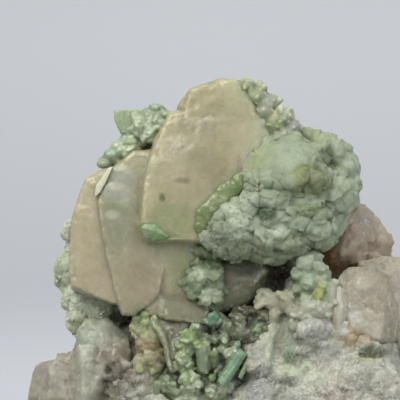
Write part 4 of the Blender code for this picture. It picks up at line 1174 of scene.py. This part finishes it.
def make_rock():
    """The matrix: broken blocks, grains and hollows, with loose grains over its front."""
    node = "matrix_rock"
    material = rock_paint()
    skin = fine_skin(solid_of(node), 0.46)
    mesh, at, _ = skin
    _, block_gap, own, facet = cobbles(swirled(at, 5.0, 1.0, 30), 4.6, 5)
    _, grain_gap, small_own, small_facet = cobbles(swirled(at, 2.0, 0.4, 40), 1.7, 6)
    _, _, grain_own, grain_facet = cobbles(swirled(at, 0.9, 0.2, 50), 0.75, 7)
    gap = np.clip(block_gap / 0.16, 0.0, 1.0)
    small_gap = np.clip(grain_gap / 0.2, 0.0, 1.0)
    sugar = 0.4 + 0.6 * soft_step(waves(at, 9.0, 33, 2) + 0.25 * (17.0 - at[:, 2]) / 6.0, -0.2, 0.4)
    rise = 1.6 * facet + 0.4 * (own - 0.5) + 0.12 * gap + 0.45 * small_facet + 0.2 * (small_own - 0.5)
    rise += sugar * (0.40 * grain_facet + 0.15 * (grain_own - 0.5)) + 0.08 * waves(at, 0.8, 9, 2)
    rise += lobed(at, mesh, ROCK_LOBES)
    rise += 1.4 * closeness(at, ["quartz_right", "mint_pillar", "quartz_left"], 2.6)
    standing = np.clip(at[:, 2] / 1.5, 0.0, 1.0)
    # Low where blocks and grains meet: the rock's material paints shade there
    relief = np.minimum(0.3 + 0.7 * gap, 0.6 + 0.4 * small_gap)
    number = 0.5 + (small_own - 0.5) * sugar
    dressed(skin, (rise - 0.1) * standing, ROCK_COLOR, ROCK_PATCHES, 8, relief=relief, own=number)
    add_piece("matrix_skin", mesh, material, "matrix", node)

    def on_the_front(spots, facing):
        sugary = soft_step(waves(spots, 5.0, 34, 2) - 0.10 * (spots[:, 2] - 18.0), 0.0, 0.5)
        return (facing[:, 1] < 0.3) * (spots[:, 2] > 1.5) * (0.03 + sugary)

    looks = ROCK_COLOR, ROCK_PATCHES
    loose = scattered(mesh, CHIP_SHAPE, 2400, 90, on_the_front, 0.10, 0.38, 0.8, *looks, 0.10)
    add_piece("matrix_grains", loose, material, "matrix", node, smooth=False)


def star_blades():
    """Thin, pointed blades round the hollow of the lower left quartz."""
    root = Vector((-16.9, -8.2, 16.0))
    low = Vector((0.0, 1.6, 0.0))
    for k, (x, z) in enumerate(STAR_TIPS):
        turn = Vector((x, root.y, z)) - root
        across = Vector((-turn.z, 0.0, turn.x)).normalized() * (0.9 + 0.1 * (k % 3))
        middle = root + 0.55 * turn + Vector((0.0, -1.4, 0.0))
        front = [root, Vector((x, -8.4, z)), middle + across, middle - across]
        yield hull(front + [point + low for point in front])


def make_quartz():
    """The quartz bodies, with broken facets."""
    milky = quartz_paint("milky_quartz_body", WHITE, 1.8)
    smoky = quartz_paint("smoky_quartz_body", tone(186, 160, 136), 1.2)
    bulk = {
        "quartz_right": [ellipsoid(*lump) for lump in QUARTZ_RIGHT_LUMPS],
        "quartz_left": [*map(hull, QUARTZ_LEFT_BLOCKS), *star_blades()],
    }
    for node, (seed, facets, base, patches) in QUARTZ.items():
        skin = fine_skin(joined([solid_of(node), *bulk.get(node, [])]), 0.3, 1)
        at = skin[1]
        _, _, own, facet = cobbles(swirled(at, 3.0, 0.5, seed), 3.2, seed)
        rise = facets * facet + 0.3 * facets * (own - 0.5) + 0.18 * waves(at, 2.6, seed + 5, 4) + 0.12
        slot, material = ("smoky_quartz", smoky) if node == "smoky_quartz" else ("milky_quartz", milky)
        add_piece(node + "_skin", dressed(skin, rise, base, patches, seed), material, slot, node)


def make_spray(material):
    """The shoulder's rounded crystals, with a plate and an upright crystal standing in them."""
    node = "tourmaline_spray"

    def below_the_plate(spots, facing):
        below = (spots[:, 2] < 62.6) * (spots[:, 0] - 0.4 * spots[:, 2] > -41.5)
        return (facing[:, 1] < 0.3) * below + 0.001

    solid = with_lumps(solid_of(node), SPRAY_LUMPS)
    mesh = grown(solid, [], 80, 81, below_the_plate, 0.6, 1.3, (166, 178, 146), SPRAY_PATCHES, 0.2, 0.85)
    add_piece("tourmaline_spray_skin", mesh, material, "tourmaline", node)
    upright = prism((-13.0, -6.2, 65.0), (-13.8, -4.6, 61.4), 1.15)
    for name, solid, color in [
        ("spray_plate", crystal(*SPRAY_PLATE), (154, 170, 132)),
        ("spray_upright", upright, (158, 172, 146)),
    ]:
        mesh = dressed(fine_skin(solid, 0.12, 1), 0.0, color, [], 0, relief=0.8)
        add_piece(name, mesh, material, "tourmaline", node)


def make_pocket(material):
    """The pocket's crust of small crystals, with its larger prisms, a small cup under its roof, a flap of
    crust on its left, and a ring of crusted lumps at its upper right, with a green crystal in it."""
    node = "tourmaline_pocket"
    turns = [math.pi * (1.0 + k / 8) for k in range(9)]
    arch = [(-2.8 + 1.3 * math.cos(turn), 26.7 + 0.5 * math.sin(turn)) for turn in turns]
    cup = [ellipsoid(x, -11.4, z, 0.6, 1.0, 0.45) for x, z in arch]

    def below_the_foot(spots, facing):
        x, _, z = spots.T
        return in_front(spots, facing) * ((x > -9.0) & (z < 25.2) | (z < 19.0) | (x > 0.0)) + 0.001

    looks = POCKET_COLOR, POCKET_PATCHES
    solid = joined([solid_of(node), *cup])
    mesh = grown(solid, PRISMS, 230, 83, below_the_foot, 0.40, 0.95, *looks, 0.17)
    add_piece(node + "_skin", mesh, material, "tourmaline", node)

    ridges = [
        ellipsoid(x, -9.7 - 0.34 * (27.6 - z), z, 0.5 + 0.06 * (z - 18.0), 1.1, 0.5)
        for x, z in [*along(FLAP_PATH), FLAP_PATH[-1]]
    ]
    skin = fine_skin(joined([*ridges, crystal(*FLAP_SHEET)]), 0.2, 1)
    rise = 0.14 * waves(skin[1], 1.1, 86, 3)
    flap = dressed(skin, rise, (144, 150, 120), [(-9, 25, 2.4, 6, (104, 102, 76), 0.97)], 89, relief=0.7)
    add_piece("pocket_flap", flap, material, "tourmaline", node)

    solid = with_lumps(ellipsoid(3.6, -8.2, 26.0, 3.0, 1.8, 2.3), RING_LUMPS)
    ring = grown(solid, RING_STONE, 80, 95, in_front, 0.22, 0.65, (119, 122, 98), RING_PATCHES, 0.18)
    add_piece("pocket_ring", ring, material, "tourmaline", node)


def make_rim(material):
    """The band between the main crystal and the boss."""
    discs = [ellipsoid(x, -14.0, z, 1.7, 0.8, 1.7) for x, z in along(RIM_PATH)]
    skin = fine_skin(joined(discs), 0.18, 4)
    at = skin[1]
    rise = 0.24 * waves(at, 1.8, 85, 4)
    relief = 0.6 + 0.1 * waves(at, 1.2, 86, 2)
    band = dressed(skin, rise, (128, 142, 94), RIM_PATCHES, 86, relief=relief)
    add_piece("tourmaline_rim_skin", band, material, "tourmaline", "tourmaline_rim")


def make_tourmaline():
    cloudy = tourmaline_paint("tourmaline_cloudy", 0.1)
    clear = tourmaline_paint("tourmaline_clear", 0.3)
    make_spray(cloudy)
    make_pocket(cloudy)
    make_rim(cloudy)
    bead = dressed(fine_skin(crystal(*BEAD), 0.12, 3), 0.0, (116, 148, 94), BEAD_PATCHES, 88, relief=0.7)
    add_piece("bead_gem", bead, clear, "tourmaline", "tourmaline_bead")


def make_backdrop():
    """A pale floor that sweeps up into the backdrop. It is clear from behind, so that the specimen's back
    can be seen."""
    bend = [math.radians(90 * k / 12) for k in range(13)]
    profile = [(FLOOR_BACK + BEND * math.sin(turn), BEND * (1 - math.cos(turn))) for turn in bend]
    bm = bmesh.new()
    rows = [
        [bm.verts.new((side * BACKDROP_HALF_WIDTH, y, z)) for side in (-1, 1)]
        for y, z in [(FLOOR_FRONT, 0.0), *profile, (FLOOR_BACK + BEND, BACKDROP_TOP)]
    ]
    for low, high in itertools.pairwise(rows):
        bm.faces.new((low[0], low[1], high[1], high[0]))
    mesh = mesh_from_bmesh(bm)
    mesh.polygons.foreach_set("use_smooth", [True] * len(mesh.polygons))
    p = Paint("backdrop_paint")
    place = p.node("ShaderNodeSeparateXYZ", {"Vector": p.place}).outputs
    # Painted light on the backdrop: lighter upwards and in a band just above the floor, a little darker to
    # the left; the floor itself is darker
    color = p.mix(p.remap(place["Z"], 0.02, 0.10), (0.436, 0.447, 0.470), (0.520, 0.530, 0.546))
    color = p.mix(p.remap(place["Z"], 0.0, 0.03, 1.0, 0.0), color, (0.585, 0.590, 0.625))
    color = p.mix(p.remap(place["Z"], 0.001, 0.004, 1.0, 0.0), color, (0.36, 0.37, 0.38))
    color = p.mix(p.remap(place["X"], -0.06, 0.0, 0.05, 0.0), color, (0.18, 0.19, 0.22))
    behind = p.node("ShaderNodeNewGeometry").outputs["Backfacing"]
    p.shade(Base_Color=color, Roughness=0.9, Alpha=p.math("SUBTRACT", 1.0, behind))
    mesh.materials.append(p.material)
    floor = bpy.data.objects.new("backdrop", mesh)
    bpy.context.scene.collection.objects.link(floor)


def make_light_and_camera():
    """Soft lights, and the camera that sees the photograph's view."""
    scene = bpy.context.scene
    scene.world = bpy.data.worlds.new("studio")
    scene.world.use_nodes = True
    background = scene.world.node_tree.nodes["Background"]
    background.inputs["Color"].default_value = (0.88, 0.93, 1.0, 1.0)
    background.inputs["Strength"].default_value = 0.585

    for name, spot, size, power, color in [
        ("key", (-0.25, -0.40, 0.45), 0.4, 2.8, (1.0, 0.97, 0.92)),
        ("fill", (0.5, -0.6, 0.25), 0.6, 2.2, (0.97, 0.98, 1.0)),
        ("top", (0.05, 0.0, 0.6), 0.5, 0.8, (1.0, 1.0, 0.98)),
    ]:
        light = bpy.data.lights.new(name, "AREA")
        light.size = size
        light.energy = power
        light.color = color
        lamp = bpy.data.objects.new(name, light)
        lamp.location = spot
        aim = Vector((0.0, 0.0, 0.04)) - Vector(spot)
        lamp.rotation_euler = aim.to_track_quat("-Z", "Y").to_euler()
        scene.collection.objects.link(lamp)

    camera = bpy.data.cameras.new("camera")
    camera.sensor_width = SENSOR_WIDTH
    camera.lens = SENSOR_WIDTH * CAMERA_DISTANCE / VIEW_WIDTH
    camera.clip_start = 0.01
    eye = bpy.data.objects.new("camera", camera)
    eye.location = (VIEW_SIDE, -CAMERA_DISTANCE, VIEW_HEIGHT)
    eye.rotation_euler = (math.radians(90), 0, 0)
    scene.collection.objects.link(eye)
    scene.camera = eye
    scene.view_settings.view_transform = "Standard"


pollucite = make_pollucite()
make_mint(pollucite)
make_rock()
make_quartz()
make_tourmaline()
make_backdrop()
make_light_and_camera()
